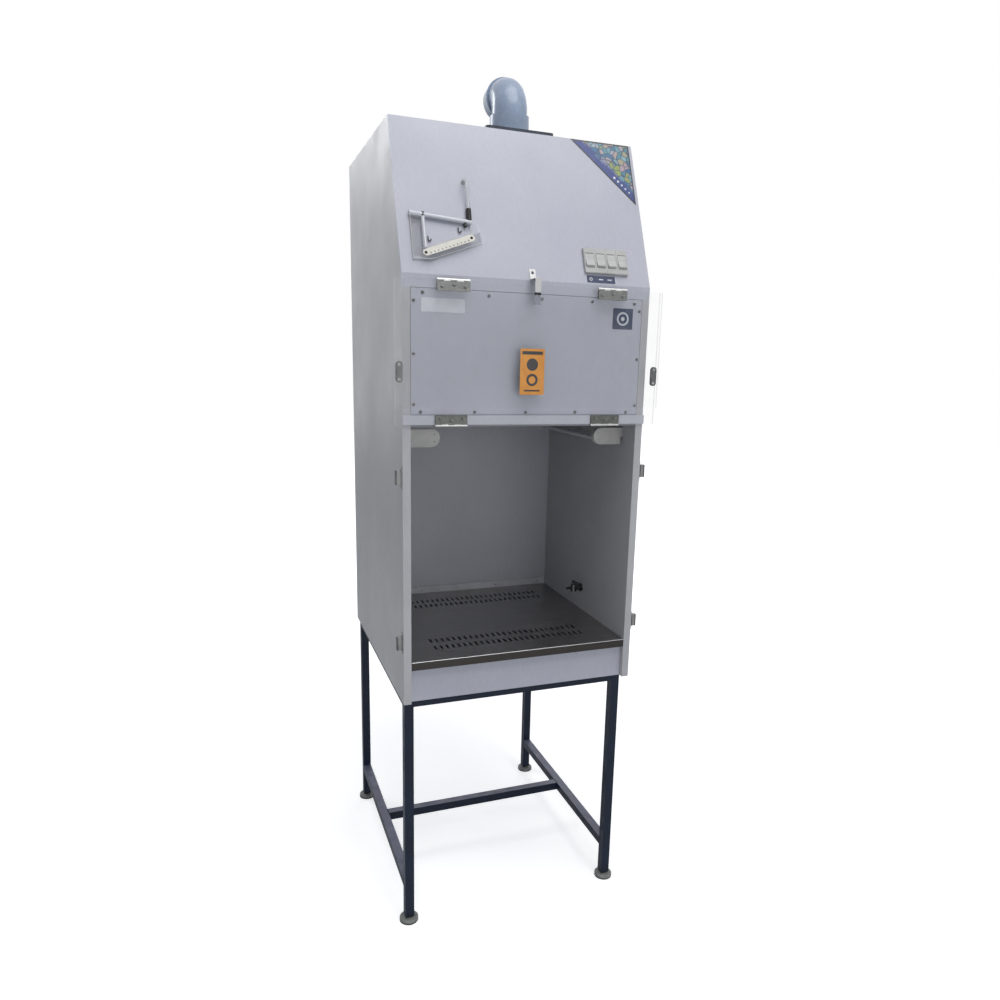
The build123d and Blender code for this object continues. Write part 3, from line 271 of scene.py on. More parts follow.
def clear_sheet(name, tint, edge, face_cover=0.07, edge_cover=0.5, reach=0.3, rough=0.05, along=None):
    """Clear plastic: nearly nothing seen square on, more at a grazing angle as a painted sheen, and more along its
    edges.
    """
    f = Finish(name, rough=rough, Specular_IOR_Level=0.6)
    graze_sheen = f.put("ShaderNodeLayerWeight", {"Blend": 0.35})
    # The tint covers more as a face turns away from square on: a painted sheen standing in for the reflection of clear
    # plastic.
    cover = f.ramp(graze_sheen.outputs["Facing"], (0.3, face_cover), (0.97, face_cover + reach))
    dust = f.ramp(f.noise(26, 5, 0.7), (0.4, 0.0), (0.8, 0.02))
    cover = f.maths("ADD", cover, dust)
    if along:
        is_face = f.maths("GREATER_THAN", f.maths("ABSOLUTE", f.facing(along)), 0.5)
        rim = f.maths("MULTIPLY", f.maths("SUBTRACT", 1.0, is_face), edge_cover)
        cover = f.maths("MAXIMUM", cover, rim)
        f.paint(f.blend(is_face, edge, tint))
    else:
        f.paint(f.ramp(f.noise(40, 3, 0.6), (0.3, edge), (0.7, tint)))
    f.wire(cover, f.shader.inputs["Alpha"])
    return f.material


def tray_metal():
    """Brushed tray steel with a brownish cloud, a painted highlight along the top of the front lip and painted shade on
    the lip's face below it.
    """
    f = Finish("tray_steel_brushed", rough=0.3, metal=1.0)
    lines = f.noise(1.0, 3, 0.6, vector=f.stretched((9, 900, 900)))
    cloud = f.noise(7, 5, 0.65)
    tone = f.blend(0.4, f.ramp(lines, (0.3, "8A8A8C"), (0.72, "B8B7B6")), f.ramp(cloud, (0.3, "918C86"),
                                                                               (0.7, "AEADAD")))
    height = f.axis("Z")
    rim = f.maths("GREATER_THAN", height, TRAY_SPAN[2][1] - 1.2 * MM)
    forward = f.maths("LESS_THAN", f.axis("Y"), FRONT + 1.5 * MM)
    # The top of the front lip is painted pale as a painted highlight; the lip's front face below it is painted
    # near-black as painted shade.
    bright = f.maths("MULTIPLY", rim, forward)
    lip_face_shade = f.maths("MULTIPLY", f.maths("SUBTRACT", 1.0, rim), forward)
    tone = f.blend(f.maths("MULTIPLY", lip_face_shade, 0.92), tone, "35322F")
    f.paint(f.blend(bright, tone, "C4C4C6"))
    f.roughen(f.ramp(cloud, (0.3, 0.26), (0.72, 0.42)))
    f.bump(lines, 0.12, 0.0002)
    return f.material


def printed(name, ground, ink, pattern):
    """A glossy printed face: a ground colour with a pattern made by a function of the finish."""
    f = Finish(name, rough=0.3, Specular_IOR_Level=0.5)
    f.paint(pattern(f, ground, ink))
    f.roughen(f.ramp(f.noise(30, 4, 0.6), (0.35, 0.26), (0.75, 0.4)))
    return f.material


def plain_print(f, ground, ink):
    return f.ramp(f.noise(45, 4, 0.6), (0.3, ink), (0.7, ground))


def cell_print(f, ground, ink):
    """Drifting cells in blue, teal, green and pale pink on deep blue, thinning out towards the long edge."""
    wall = f.ramp(f.cells(75, "DISTANCE_TO_EDGE"), (0.02, 0.0), (0.12, 1.0))
    kind = f.put("ShaderNodeSeparateColor", {0: f.cells(75, output="Color")})
    tones = f.ramp(kind.outputs[0], (0.0, "2C5C8C"), (0.22, "4C8796"), (0.42, "7FA3AE"), (0.6, "8B9A4E"),
                   (0.76, "A9939F"), (1.0, "98A9B6"))
    art = f.blend(wall, "33495F", tones)
    up_slope = f.maths("MULTIPLY", f.maths("SUBTRACT", f.axis("Z"), KINK), 1 / math.cos(SLOPE))
    from_corner = f.maths("ADD", f.maths("ADD", f.axis("X"), HALF_WIDTH), up_slope)
    depth = f.maths("SUBTRACT", from_corner, sum(TRIANGLE[0]) * MM)
    ragged = f.maths("ADD", depth, f.maths("MULTIPLY", f.noise(40, 3, 0.6), 40 * MM))
    inside = f.put("ShaderNodeMapRange", {"From Min": 46 * MM, "From Max": 62 * MM, "Value": ragged})
    return f.blend(inside.outputs["Result"], ground, art)


def foot_plastic():
    """Grey levelling-foot plastic, scuffed, and near-black in its lowest 4 mm, next to the floor."""
    f = Finish("foot_grey_plastic", rough=0.6, Specular_IOR_Level=0.4)
    tone = f.ramp(f.noise(60, 5, 0.7), (0.3, "727472"), (0.7, "969896"))
    # The lowest 4 mm of the foot, where it meets the floor, is painted near-black.
    base = f.maths("LESS_THAN", f.axis("Z"), cad_low.z + 4 * MM)
    f.paint(f.blend(base, tone, "2E2D2B"))
    f.roughen(f.ramp(f.noise(50, 4, 0.6), (0.3, 0.5), (0.7, 0.75)))
    f.bump(f.noise(300, 3, 0.6), 0.4, 0.0003)
    return f.material


def gauge_acrylic():
    """Machined clear acrylic: clear faces, frosted saw-cut sides and chamfers painted near-white as a painted
    highlight.
    """
    f = Finish("clear_acrylic_gauge", rough=0.12, Specular_IOR_Level=0.6)
    outward = f.facing(SLOPE_OUT)
    # The chamfers are painted near-white and more opaque: a painted highlight.
    chamfer_highlight = f.ramp(outward, (0.5, 0.0), (0.62, 1.0), (0.8, 1.0), (0.9, 0.0))
    side = f.ramp(f.maths("ABSOLUTE", outward), (0.2, 1.0), (0.45, 0.0))
    haze = f.ramp(f.noise(120, 4, 0.6), (0.3, 0.05), (0.75, 0.1))
    cover = f.maths("ADD", haze, f.maths("MULTIPLY", chamfer_highlight, 0.6))
    cover = f.maths("ADD", cover, f.maths("MULTIPLY", side, 0.12))
    f.paint(f.blend(chamfer_highlight, "E4E7EC", "F6F6F4"))
    f.wire(cover, f.shader.inputs["Alpha"])
    return f.material


BOARD = laminate("pale_laminate", "C3C6D2", "B8BBC8")
SIDE_BOARD = laminate("pale_laminate_sides", "C1C2C6", "B6B7BC")
# The header board and the inside boards are darker copies of the same laminate: painted shade.
HEADER_BOARD_SHADED = laminate("laminate_header_painted_shade", "8F9199", "868890")
BOARD_INSIDE_SHADED = laminate("pale_laminate_inside_painted_shade", "B8BAC2", "ACAEB6")
BOARD_EDGE = laminate("laminate_edge_band", "CDCFD9", "BEC0CA", grain=(3, 3, 3))
TRAY = tray_metal()
STEEL = brushed("shaft_steel", "B3AFA8", "8A8781", "X", rough=0.42)
# The pale knuckles of the rail and fold hinges are a painted highlight.
RAIL_HINGE = hinge_metal("hinge_steel_rail", "6E6F6B", "4C4D4B", RAIL_AXIS)
FOLD_HINGE = hinge_metal("hinge_steel_fold", "858784", "5E605E", FOLD_AXIS)
STRAP_METAL = hinge_metal("strap_bright", "B4B4B4", "939396", STRAP_AXIS, knuckle_highlight_and_tone="37373A", reach=3.4)
BRACKET_METAL = hinge_metal("strap_bracket_grey", "7F818A", "6C6E77", STRAP_AXIS, knuckle_highlight_and_tone="37373A", reach=3.4)
POLE_STEEL = plated("pole_plate_steel", "66676A", "48494C", rough=0.4)
DARK_CHROME = plated("gas_cock_dark_chrome", "6A6E6E", "3C4140", rough=0.14)
STRIKE_STEEL = brushed("strike_steel_dull", "747676", "585A5A", "Z", rough=0.5)
CLEAT = moulded("cleat_painted_strip", "BDBEC4", "AEAFB6", rough=0.4, pebble=0.05)
ZINC = plated("zinc_screws", "B9B9B7", "8A8A8C", rough=0.24)
DULL_ZINC = plated("dull_zinc_screws", "8A8B8E", "68696C", rough=0.4)
DARK_METAL = plated("dark_oxidised_stud", "4C4C50", "333336", rough=0.35)
# Near-black for the cross recesses of screw heads: painted shade.
RECESS_SHADE = moulded("screw_recess_painted_shade", "1A1A1C", "0E0E10", rough=0.6)
ACRYLIC = clear_sheet("clear_acrylic_door", "DDE2E8", "D5DFE4", face_cover=0.015, edge_cover=0.22,
                      along=TOWARDS_USER)
GAUGE_CLEAR = gauge_acrylic()
HOSE_CLEAR = clear_sheet("clear_hose", "E8E9EA", "C6CBD2", face_cover=0.3, reach=0.5, rough=0.14)
WHITE = moulded("cool_white_plastic", "B9BAB9", "A9AAA9", rough=0.3, pebble=0.06)
CATCH = moulded("catch_grey_plastic", "9C9C9B", "868685", rough=0.3, pebble=0.06)
LAMP_WHITE = moulded("lamp_cap_white", "B9B8B6", "A5A4A2", rough=0.34, pebble=0.05)
ROCKER_WHITE = moulded("rocker_white_plastic", "C3C4C4", "B3B4B4", rough=0.24, pebble=0.03)
BLACK = moulded("black_moulded", "1B1D22", "101114", rough=0.42, pebble=0.1)
RUBBER = moulded("black_rubber", "16171A", "0C0C0E", rough=0.62, pebble=0.3, scale=900)
PIPE = moulded("pipe_plastic_blue_grey", "9AA9C1", "8998AF", rough=0.22, pebble=0.04)
FLANGE = moulded("duct_flange_dark", "3A414E", "2C323D", rough=0.4, pebble=0.12)
# The stand's lavender-grey tone on upward faces is a painted reflection of the sky.
STAND = coated("stand_enamel_navy", "14233A", "0E1829", "34445A", specular=0.3, top_sky_reflection="7E8196")
WELD = coated("weld_enamel_navy", "142034", "0E1726", "38475A", rough=0.45, specular=0.25)
FOOT = foot_plastic()
FROST = moulded("lamp_tube_frosted", "C9CCD0", "B5B9BE", rough=0.4, pebble=0.02)
PINE = moulded("bare_pine", "B79A6E", "9C7F54", rough=0.7, pebble=0.3, scale=200)
PAPER = moulded("filter_paper", "EDEDE8", "DCDCD6", rough=0.85, pebble=0.5, scale=400)
GALVANISED = brushed("galvanised_sheet", "B4B8BC", "8D9196", "Z", rough=0.4)
MOTOR = coated("motor_enamel", "3A4048", "2A2F36", "666B70", rough=0.45)
ALLOY = brushed("gauge_tube_satin", "CDD0D7", "B4B8C1", "X", rough=0.36, metal=0.15)
SCALE_WHITE = printed("gauge_scale_face", "DAD8CF", "C9C7BE", plain_print)
PLATE_GREY = printed("blank_name_plate", "DFE1E8", "D2D5DE", plain_print)
NAVY = printed("navy_print", "20305A", "182548", plain_print)
PALE_PRINT = printed("pale_print", "D4D8DE", "C6CAD2", plain_print)
ORANGE = printed("orange_print", "E0962F", "D28622", plain_print)
INK = printed("black_print", "1C1B1E", "131214", plain_print)
CELLS = printed("corner_cell_print", "2B3F7E", "1B2A5C", cell_print)

finish_of = {
    "side_panel_left": SIDE_BOARD, "side_panel_right": SIDE_BOARD, "rear_panel": BOARD, "roof_panel": BOARD,
    "sloped_fascia": BOARD, "top_rail": BOARD, "hinge_rail": BOARD_EDGE, "header_board": HEADER_BOARD_SHADED,
    "service_panel": BOARD, "plinth_board": BOARD, "floor_board": BOARD, "chamber_back": BOARD_INSIDE_SHADED,
    "inner_battens": PINE, "back_cleat": CLEAT, "work_tray": TRAY, "ceiling_diffuser": BOARD_INSIDE_SHADED,
    "supply_filter_frame": PINE, "supply_filter_pack": PAPER, "blower_deck": BOARD_INSIDE_SHADED,
    "blower_housing": GALVANISED, "impeller": GALVANISED, "motor_shaft": STEEL, "blower_motor": MOTOR,
    "exhaust_filter": WHITE, "duct_flange": FLANGE, "duct_elbow": PIPE, "door_upper_leaf": ACRYLIC,
    "door_lower_leaf": ACRYLIC, "rail_hinge_fixed_plates": RAIL_HINGE, "rail_hinge_leaf_plates": RAIL_HINGE,
    "fold_hinge_upper_plates": FOLD_HINGE, "fold_hinge_lower_plates": FOLD_HINGE, "upper_strike_plates": STRIKE_STEEL,
    "lower_strike_plates": STRIKE_STEEL, "catch_housings": CATCH, "catch_pole_plates": POLE_STEEL,
    "strap_bracket": BRACKET_METAL, "holding_strap": STRAP_METAL, "strap_stud": DARK_METAL, "switch_plate": WHITE,
    "manometer_body": GAUGE_CLEAR, "manometer_scale": SCALE_WHITE, "manometer_top_tube": ALLOY,
    "pressure_hose": HOSE_CLEAR, "gas_cock_body": DARK_CHROME, "gas_cock_handle": DARK_CHROME,
    "lamp_fittings": LAMP_WHITE, "lamp_tubes": FROST, "stand_legs": STAND, "stand_rails": STAND,
    "leg_inserts": BLACK, "service_panel_screws": ZINC,
}
for number in range(1, 5):
    finish_of[f"switch_rocker_{number}"] = ROCKER_WHITE
for corner in ("front_left", "front_right", "rear_left", "rear_right"):
    finish_of[f"foot_{corner}"] = FOOT
for node, material in finish_of.items():
    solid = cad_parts[node]
    for place in solid.material_slots:
        place.material = material


# ---------------------------------------------------------------- mesh helpers
def added(name, data):
    """A new object, put in the scene."""
    thing = bpy.data.objects.new(name, data)
    bpy.context.scene.collection.objects.link(thing)
    return thing


def settled_mesh(thing):
    """The mesh that an object's modifiers or bevel give; the object itself is taken away."""
    bpy.context.view_layer.update()
    mesh = bpy.data.meshes.new_from_object(thing.evaluated_get(bpy.context.evaluated_depsgraph_get()))
    bpy.data.objects.remove(thing)
    return mesh


def turn_to(shell, centre, axis):
    """Stands a working mesh on a point, with its Z along an axis."""
    aim = axis.to_track_quat("Z", "Y").to_matrix().to_4x4()
    bmesh.ops.transform(shell, matrix=Matrix.Translation(centre) @ aim, verts=shell.verts[:])


def piece(name, mesh, body, *materials, slot=None, replaces=()):
    """Puts a finished mesh in the scene and lets it ride on a body."""
    thing = added(name, mesh)
    for material in materials:
        mesh.materials.append(material)
    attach(thing, body)
    if replaces:
        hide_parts(*replaces)
    return thing


def from_bmesh(name, shell, smooth=True):
    """Turns a working mesh into a mesh with outward faces."""
    bmesh.ops.recalc_face_normals(shell, faces=shell.faces[:])
    mesh = bpy.data.meshes.new(name)
    shell.to_mesh(mesh)
    shell.free()
    for face in mesh.polygons:
        face.use_smooth = smooth
    return mesh


def turned(profile, segments=24):
    """A closed shape of revolution about Z, from (radius, height) pairs; radius 0 closes an end."""
    shell = bmesh.new()
    rings = []
    for radius, height in profile:
        if radius == 0:
            rings.append([shell.verts.new((0, 0, height))])
        else:
            rings.append([shell.verts.new((radius * math.cos(TAU * i / segments),
                                           radius * math.sin(TAU * i / segments), height))
                          for i in range(segments)])
    for low, high in zip(rings, rings[1:]):
        for i in range(segments):
            j = (i + 1) % segments
            ring = [low[i % len(low)], low[j % len(low)], high[j % len(high)], high[i % len(high)]]
            corners = list(dict.fromkeys(ring))
            if len(corners) > 2:
                shell.faces.new(corners)
    return shell


def screw_head(name, radius, height, countersunk=False):
    """One cross-recess screw head, facing +Z, its underside at the origin."""
    if countersunk:
        profile = [(0, -height), (radius * 0.5, -height), (radius, -0.1 * height), (radius, 0), (radius * 0.86, 0.08
                   * height), (0, 0.08 * height)]
    else:
        profile = [(0, 0), (radius, 0), (radius, 0.32 * height), (radius * 0.9, 0.68 * height),
                   (radius * 0.62, 0.94 * height), (0, height)]
    mesh = from_bmesh(name, turned(profile, 20))
    mesh.materials.append(ZINC)
    # The cross recess takes a near-black material: painted shade in the recess.
    mesh.materials.append(RECESS_SHADE)
    head = added(name, mesh)
    top = height * (0.08 if countersunk else 1.0)
    cross = bmesh.new()
    for turn in (0, TAU / 4):
        cut = bmesh.ops.create_cube(cross, size=1.0)["verts"]
        bmesh.ops.scale(cross, vec=(radius * 1.15, radius * 0.2, height * 0.9), verts=cut)
        bmesh.ops.rotate(cross, cent=(0, 0, 0), matrix=Matrix.Rotation(turn, 3, "Z"), verts=cut)
        bmesh.ops.translate(cross, vec=(0, 0, top), verts=cut)
    cutter = added(name + "_cutter", from_bmesh(name + "_cutter", cross, smooth=False))
    cutter.data.materials.append(RECESS_SHADE)
    carve = head.modifiers.new("recess", "BOOLEAN")
    carve.object, carve.operation, carve.solver = cutter, "DIFFERENCE", "EXACT"
    carve.material_mode = "TRANSFER"
    carve.use_self = True
    carved = settled_mesh(head)
    bpy.data.objects.remove(cutter)
    return bpy.data.objects.new(name + "_pattern", carved)


def tree_of(name, sizes):
    """A geometry node group that takes a mesh and named sizes and gives a mesh."""
    group = bpy.data.node_groups.new(name, "GeometryNodeTree")
    group.interface.new_socket("Geometry", in_out="INPUT", socket_type="NodeSocketGeometry")
    for label, kind, value in sizes:
        socket = group.interface.new_socket(label, in_out="INPUT", socket_type=kind)
        if value is not None:
            socket.default_value = value
    group.interface.new_socket("Geometry", in_out="OUTPUT", socket_type="NodeSocketGeometry")
    return group, group.nodes.new("NodeGroupInput"), group.nodes.new("NodeGroupOutput")


def head_placer():
    """Puts a pattern mesh on every point, turned to face along the point's own direction."""
    group, entry, leaving = tree_of("fastening_placer", [("Pattern", "NodeSocketObject", None),
                                                          ("Size", "NodeSocketFloat", 1.0),
                                                          ("Turn seed", "NodeSocketInt", 3),
                                                          ("Finish", "NodeSocketMaterial", None)])
    new, link = group.nodes.new, group.links.new
    points = new("GeometryNodeMeshToPoints")
    facing = new("GeometryNodeInputNamedAttribute")
    facing.data_type = "FLOAT_VECTOR"
    facing.inputs["Name"].default_value = "facing"
    aim = new("FunctionNodeAlignRotationToVector")
    aim.axis = "Z"
    link(facing.outputs["Attribute"], aim.inputs["Vector"])
    spin = new("FunctionNodeRandomValue")
    spin.data_type = "FLOAT"
    spin.inputs[2].default_value, spin.inputs[3].default_value = 0.0, TAU / 4
    link(entry.outputs["Turn seed"], spin.inputs["Seed"])
    about = new("ShaderNodeCombineXYZ")
    link(spin.outputs[1], about.inputs["Z"])
    local = new("FunctionNodeEulerToRotation")
    link(about.outputs[0], local.inputs[0])
    both = new("FunctionNodeRotateRotation")
    both.rotation_space = "LOCAL"
    link(aim.outputs[0], both.inputs[0])
    link(local.outputs[0], both.inputs[1])
    pattern = new("GeometryNodeObjectInfo")
    link(entry.outputs["Pattern"], pattern.inputs["Object"])
    spread = new("GeometryNodeInstanceOnPoints")
    link(entry.outputs["Geometry"], points.inputs["Mesh"])
    link(points.outputs[0], spread.inputs["Points"])
    link(pattern.outputs["Geometry"], spread.inputs["Instance"])
    link(both.outputs[0], spread.inputs["Rotation"])
    link(entry.outputs["Size"], spread.inputs["Scale"])
    real = new("GeometryNodeRealizeInstances")
    link(spread.outputs[0], real.inputs[0])
    index = new("GeometryNodeInputMaterialIndex")
    is_head = new("FunctionNodeCompare")
    is_head.data_type, is_head.operation = "INT", "EQUAL"
    link(index.outputs[0], is_head.inputs[2])
    is_head.inputs[3].default_value = 0
    dress = new("GeometryNodeSetMaterial")
    link(real.outputs[0], dress.inputs["Geometry"])
    link(is_head.outputs[0], dress.inputs["Selection"])
    link(entry.outputs["Finish"], dress.inputs["Material"])
    link(dress.outputs[0], leaving.inputs[0])
    return group


PLACER = head_placer()


def by_nodes(name, base, group, **values):
    """Runs a node group over a base mesh and gives back the plain mesh it makes."""
    carrier = added(name, base)
    run = carrier.modifiers.new("make", "NODES")
    run.node_group = group
    for socket in group.interface.items_tree:
        if socket.in_out == "INPUT" and socket.name in values:
            run[socket.identifier] = values[socket.name]
    return settled_mesh(carrier)


def fastenings(name, body, places, pattern, material=None, size=1.0, seed=3, replaces=(), slot="zinc_screw"):
    """Screws or other small heads at places, each a point in metres and the way it faces."""
    base = bpy.data.meshes.new(name)
    base.from_pydata([tuple(point) for point, _ in places], [], [])
    direction = base.attributes.new("facing", "FLOAT_VECTOR", "POINT")
    for index, (_, way) in enumerate(places):
        direction.data[index].vector = way
    made = by_nodes(name, base, PLACER, Pattern=pattern, Size=size, Finish=material or ZINC, **{"Turn seed": seed})
    return piece(name, made, body, slot=slot, replaces=replaces)


PAN_HEAD = screw_head("pan_head", 4.4 * MM, 2.0 * MM)
SMALL_PAN = screw_head("small_pan_head", 3.0 * MM, 1.3 * MM)
FLAT_HEAD = screw_head("flat_head", 3.4 * MM, 1.0 * MM, countersunk=True)


def flat_shape(name, outline, thickness, place, across, outward, body, *materials, slot="laminate"):
    """A thin plate from an outline in mm, laid on a surface."""
    shell = bmesh.new()
    upward = outward.cross(across)
    corners = [place + across * (u * MM) + upward * (v * MM) for u, v in outline]
    base = [shell.verts.new(c) for c in corners]
    face = shell.faces.new(base)
    raised = bmesh.ops.extrude_face_region(shell, geom=[face])
    bmesh.ops.translate(shell, vec=outward * (thickness * MM),
                        verts=[v for v in raised["geom"] if isinstance(v, bmesh.types.BMVert)])
    return piece(name, from_bmesh(name, shell, smooth=False), body, *materials, slot=slot)


def rounded(width, height, radius, steps=5):
    """Outline of a rounded rectangle about its middle."""
    points = []
    for cx, cy, start in ((1, 1, 0), (-1, 1, 1), (-1, -1, 2), (1, -1, 3)):
        for i in range(steps + 1):
            a = (start + i / steps) * TAU / 4
            points.append((cx * (width / 2 - radius) + radius * math.cos(a),
                           cy * (height / 2 - radius) + radius * math.sin(a)))
    return points


def sweep_tube(name, line, radius, body, *materials, segments=12, slot="zinc_screw", replaces=()):
    """A round bar along a smooth line through points, closed at both ends."""
    curve = bpy.data.curves.new(name, "CURVE")
    curve.dimensions = "3D"
    curve.bevel_depth = radius
    curve.bevel_resolution = max(2, segments // 4)
    curve.use_fill_caps = True
    spline = curve.splines.new("NURBS")
    spline.points.add(len(line) - 1)
    for point, place in zip(spline.points, line):
        point.co = (*place, 1.0)
    spline.order_u = 3
    spline.use_endpoint_u = True
    spline.resolution_u = 10
    mesh = settled_mesh(added(name, curve))
    for face in mesh.polygons:
        face.use_smooth = True
    mesh.materials.clear()
    return piece(name, mesh, body, *materials, slot=slot, replaces=replaces)


# ---------------------------------------------------------------- screws
top_screws = (-276, -113, 25, 162, 282)
bottom_screws = (-281, -145, -11, 126, 273)
side_screws = (25, 144, 266)
top_screw_drop, screw_edge = 11 * MM, 7.5 * MM
panel_screws = [(Vector((x * MM, FRONT, PANEL_TOP - top_screw_drop)), TOWARDS_USER) for x in top_screws]
panel_screws += [(Vector((x * MM, FRONT, SILL + screw_edge)), TOWARDS_USER) for x in bottom_screws]
panel_screws += [(Vector((side * (INNER_HALF - screw_edge), FRONT, SILL + z * MM)), TOWARDS_USER)
                 for side in (-1, 1) for z in side_screws]
fastenings("panel_screw_heads", "cabinet", panel_screws, PAN_HEAD, material=DULL_ZINC,
           replaces=("service_panel_screws",))

hinge_centres = (-207, 207)
hinge_screw_spread, outer_screw_rise, middle_screw_rise = 28, 17, 12


def hinge_screws(axis, plate_face, direction, facing, body, name):
    """Three staggered screws on each plate of a hinge half, above or below the pin."""
    places = []
    for centre in hinge_centres:
        for across in (-hinge_screw_spread, 0, hinge_screw_spread):
            rise = (outer_screw_rise if across else middle_screw_rise) * direction
            places.append((Vector(((centre + across) * MM, plate_face, axis[1] + rise * MM)), facing))
    fastenings(name, body, places, SMALL_PAN if "front" in name else FLAT_HEAD, material=DULL_ZINC, seed=len(name))


hinge_screws(RAIL_AXIS, FRONT - 7.7 * MM, 1, TOWARDS_USER, "cabinet", "rail_hinge_screws")
hinge_screws(RAIL_AXIS, FRONT - 11.3 * MM, 1, -TOWARDS_USER, "door_upper", "rail_leaf_screws")
hinge_screws(FOLD_AXIS, FRONT - 19.7 * MM, -1, TOWARDS_USER, "door_upper", "fold_upper_screws")
hinge_screws(FOLD_AXIS, FRONT - 23.3 * MM, -1, -TOWARDS_USER, "door_lower", "fold_lower_screws")
hinge_screws(RAIL_AXIS, UPPER_FACE, 1, TOWARDS_USER, "door_upper", "rail_leaf_front_heads")
hinge_screws(FOLD_AXIS, LOWER_FACE, -1, TOWARDS_USER, "door_lower", "fold_leaf_front_heads")

STRIKE_SCREW_INSET, STRIKE_SCREW_SPREAD = 8 * MM, 17 * MM


def strike_screws(name, node, body):
    """Two flush screws near the ends of each strike plate of a node, one plate at each side of the door."""
    (left, right), (face, _), (low, high) = span(node)
    middle = (low + high) / 2
    places = [(Vector((edge, face, middle + step * STRIKE_SCREW_SPREAD)), TOWARDS_USER)
              for edge in (left + STRIKE_SCREW_INSET, right - STRIKE_SCREW_INSET) for step in (-1, 1)]
    fastenings(name, body, places, FLAT_HEAD, seed=len(name))


strike_screws("upper_strike_screws", "upper_strike_plates", "door_upper")
strike_screws("lower_strike_screws", "lower_strike_plates", "door_lower")

CATCHES = span("catch_housings")
CLEAT_SPAN = span("back_cleat")
cleat_middle = (CLEAT_SPAN[2][0] + CLEAT_SPAN[2][1]) / 2
cleat_screws = [(Vector((from_left * MM - HALF_WIDTH, CLEAT_SPAN[1][0], cleat_middle)), TOWARDS_USER)
                for from_left in (64, 189, 315, 447, 600)]
fastenings("back_cleat_screws", "cabinet", cleat_screws, SMALL_PAN)

half_flange, flange_thick, flange_middle, catch_screw_spread = 27 * MM, 2 * MM, 7.5 * MM, 22 * MM
catch_screws = []
for height in (CATCHES[2][0] + half_flange, CATCHES[2][1] - half_flange):
    for side in (-1, 1):
        for step in (-1, 1):
            catch_screws.append((Vector((side * (HALF_WIDTH + flange_thick), FRONT + flange_middle,
                                         height + step * catch_screw_spread)), RIGHT * side))
fastenings("catch_screws", "cabinet", catch_screws, SMALL_PAN)

LAMPS = span("lamp_fittings")
lamp_mid = (LAMPS[2][0] + LAMPS[2][1]) / 2
lamp_screw_reach, lamp_screw_rise = 76 * MM, 9 * MM
lamp_screws = [(Vector((side * (INNER_HALF - lamp_screw_reach), LAMPS[1][0], lamp_mid + rise)), TOWARDS_USER)
               for side in (-1, 1) for rise in (lamp_screw_rise, -lamp_screw_rise)]
fastenings("lamp_cap_screws", "cabinet", lamp_screws, SMALL_PAN, size=0.7)

# ---------------------------------------------------------------- blank plates and printed faces
LIFT = 0.05 * MM  # what a plate stands off the face it lies on
PLATE_THICK, PRINT_THICK = 0.5, 0.15
PANEL_FACE = FRONT - LIFT
LEAF_FACE = LOWER_FACE - LIFT
# left, right, bottom and top of each plate: mm from the cabinet's left face, mm up from the sill
NAME_PLATE = (46, 152, 241, 273)
NAVY_SQUARE = (547, 604, 219, 271)
ORANGE_PLATE = (285, 349, 52, 163)
ORANGE_BAR = (290, 344, 149, 157)
ORANGE_FOOT_BAR = (296, 338, 60, 64)


def on_front(from_left, up, face):
    """A point on an upright face: mm from the cabinet's left face and mm up from the sill."""
    return Vector((from_left * MM - HALF_WIDTH, face, SILL + up * MM))


def upright_plate(name, edges, face, body, *materials, corner=1.5, thick=PLATE_THICK):
    """A thin upright plate on a face, from its left, right, bottom and top."""
    left, right, bottom, top = edges
    centre = on_front((left + right) / 2, (bottom + top) / 2, face)
    return flat_shape(name, rounded(right - left, top - bottom, corner), thick, centre, RIGHT, TOWARDS_USER, body,
                      *materials)


upright_plate("blank_name_plate", NAME_PLATE, PANEL_FACE, "cabinet", PLATE_GREY)
upright_plate("navy_square", NAVY_SQUARE, PANEL_FACE, "cabinet", NAVY)


def disc(name, centre, outward, radius, thick, body, material, hole=0.0):
    """A flat disc or ring lying on a surface, in metres."""
    if hole:
        profile = [(hole, 0), (radius, 0), (radius, thick), (hole, thick), (hole, 0)]
    else:
        profile = [(0, 0), (radius, 0), (radius, thick), (0, thick)]
    shell = turned(profile, 28)
    bmesh.ops.remove_doubles(shell, verts=shell.verts[:], dist=1e-7)
    turn_to(shell, centre, outward)
    return piece(name, from_bmesh(name, shell, smooth=False), body, material, slot="laminate")


print_face = PANEL_FACE - PLATE_THICK * MM
square_middle = on_front((NAVY_SQUARE[0] + NAVY_SQUARE[1]) / 2, (NAVY_SQUARE[2] + NAVY_SQUARE[3]) / 2, print_face)
disc("navy_square_ring", square_middle, TOWARDS_USER, 17 * MM, PRINT_THICK * MM, "cabinet", PALE_PRINT,
     hole=12.5 * MM)
disc("navy_square_dot", square_middle, TOWARDS_USER, 5 * MM, PRINT_THICK * MM, "cabinet", PALE_PRINT)

ink_face = LEAF_FACE - PLATE_THICK * MM
orange_middle = (ORANGE_PLATE[0] + ORANGE_PLATE[1]) / 2
disc_up, ring_up, mark_radius, ring_hole = 125, 88, 15 * MM, 9 * MM
upright_plate("orange_plate", ORANGE_PLATE, LEAF_FACE, "door_lower", ORANGE, corner=2)
upright_plate("orange_plate_bar", ORANGE_BAR, ink_face, "door_lower", INK, corner=1, thick=PRINT_THICK)
upright_plate("orange_plate_foot_bar", ORANGE_FOOT_BAR, ink_face, "door_lower", INK, corner=1, thick=PRINT_THICK)
disc("orange_plate_disc", on_front(orange_middle, disc_up, ink_face), TOWARDS_USER, mark_radius, PRINT_THICK * MM,
     "door_lower", INK)
disc("orange_plate_ring", on_front(orange_middle, ring_up, ink_face), TOWARDS_USER, mark_radius, PRINT_THICK * MM,
     "door_lower", INK, hole=ring_hole)


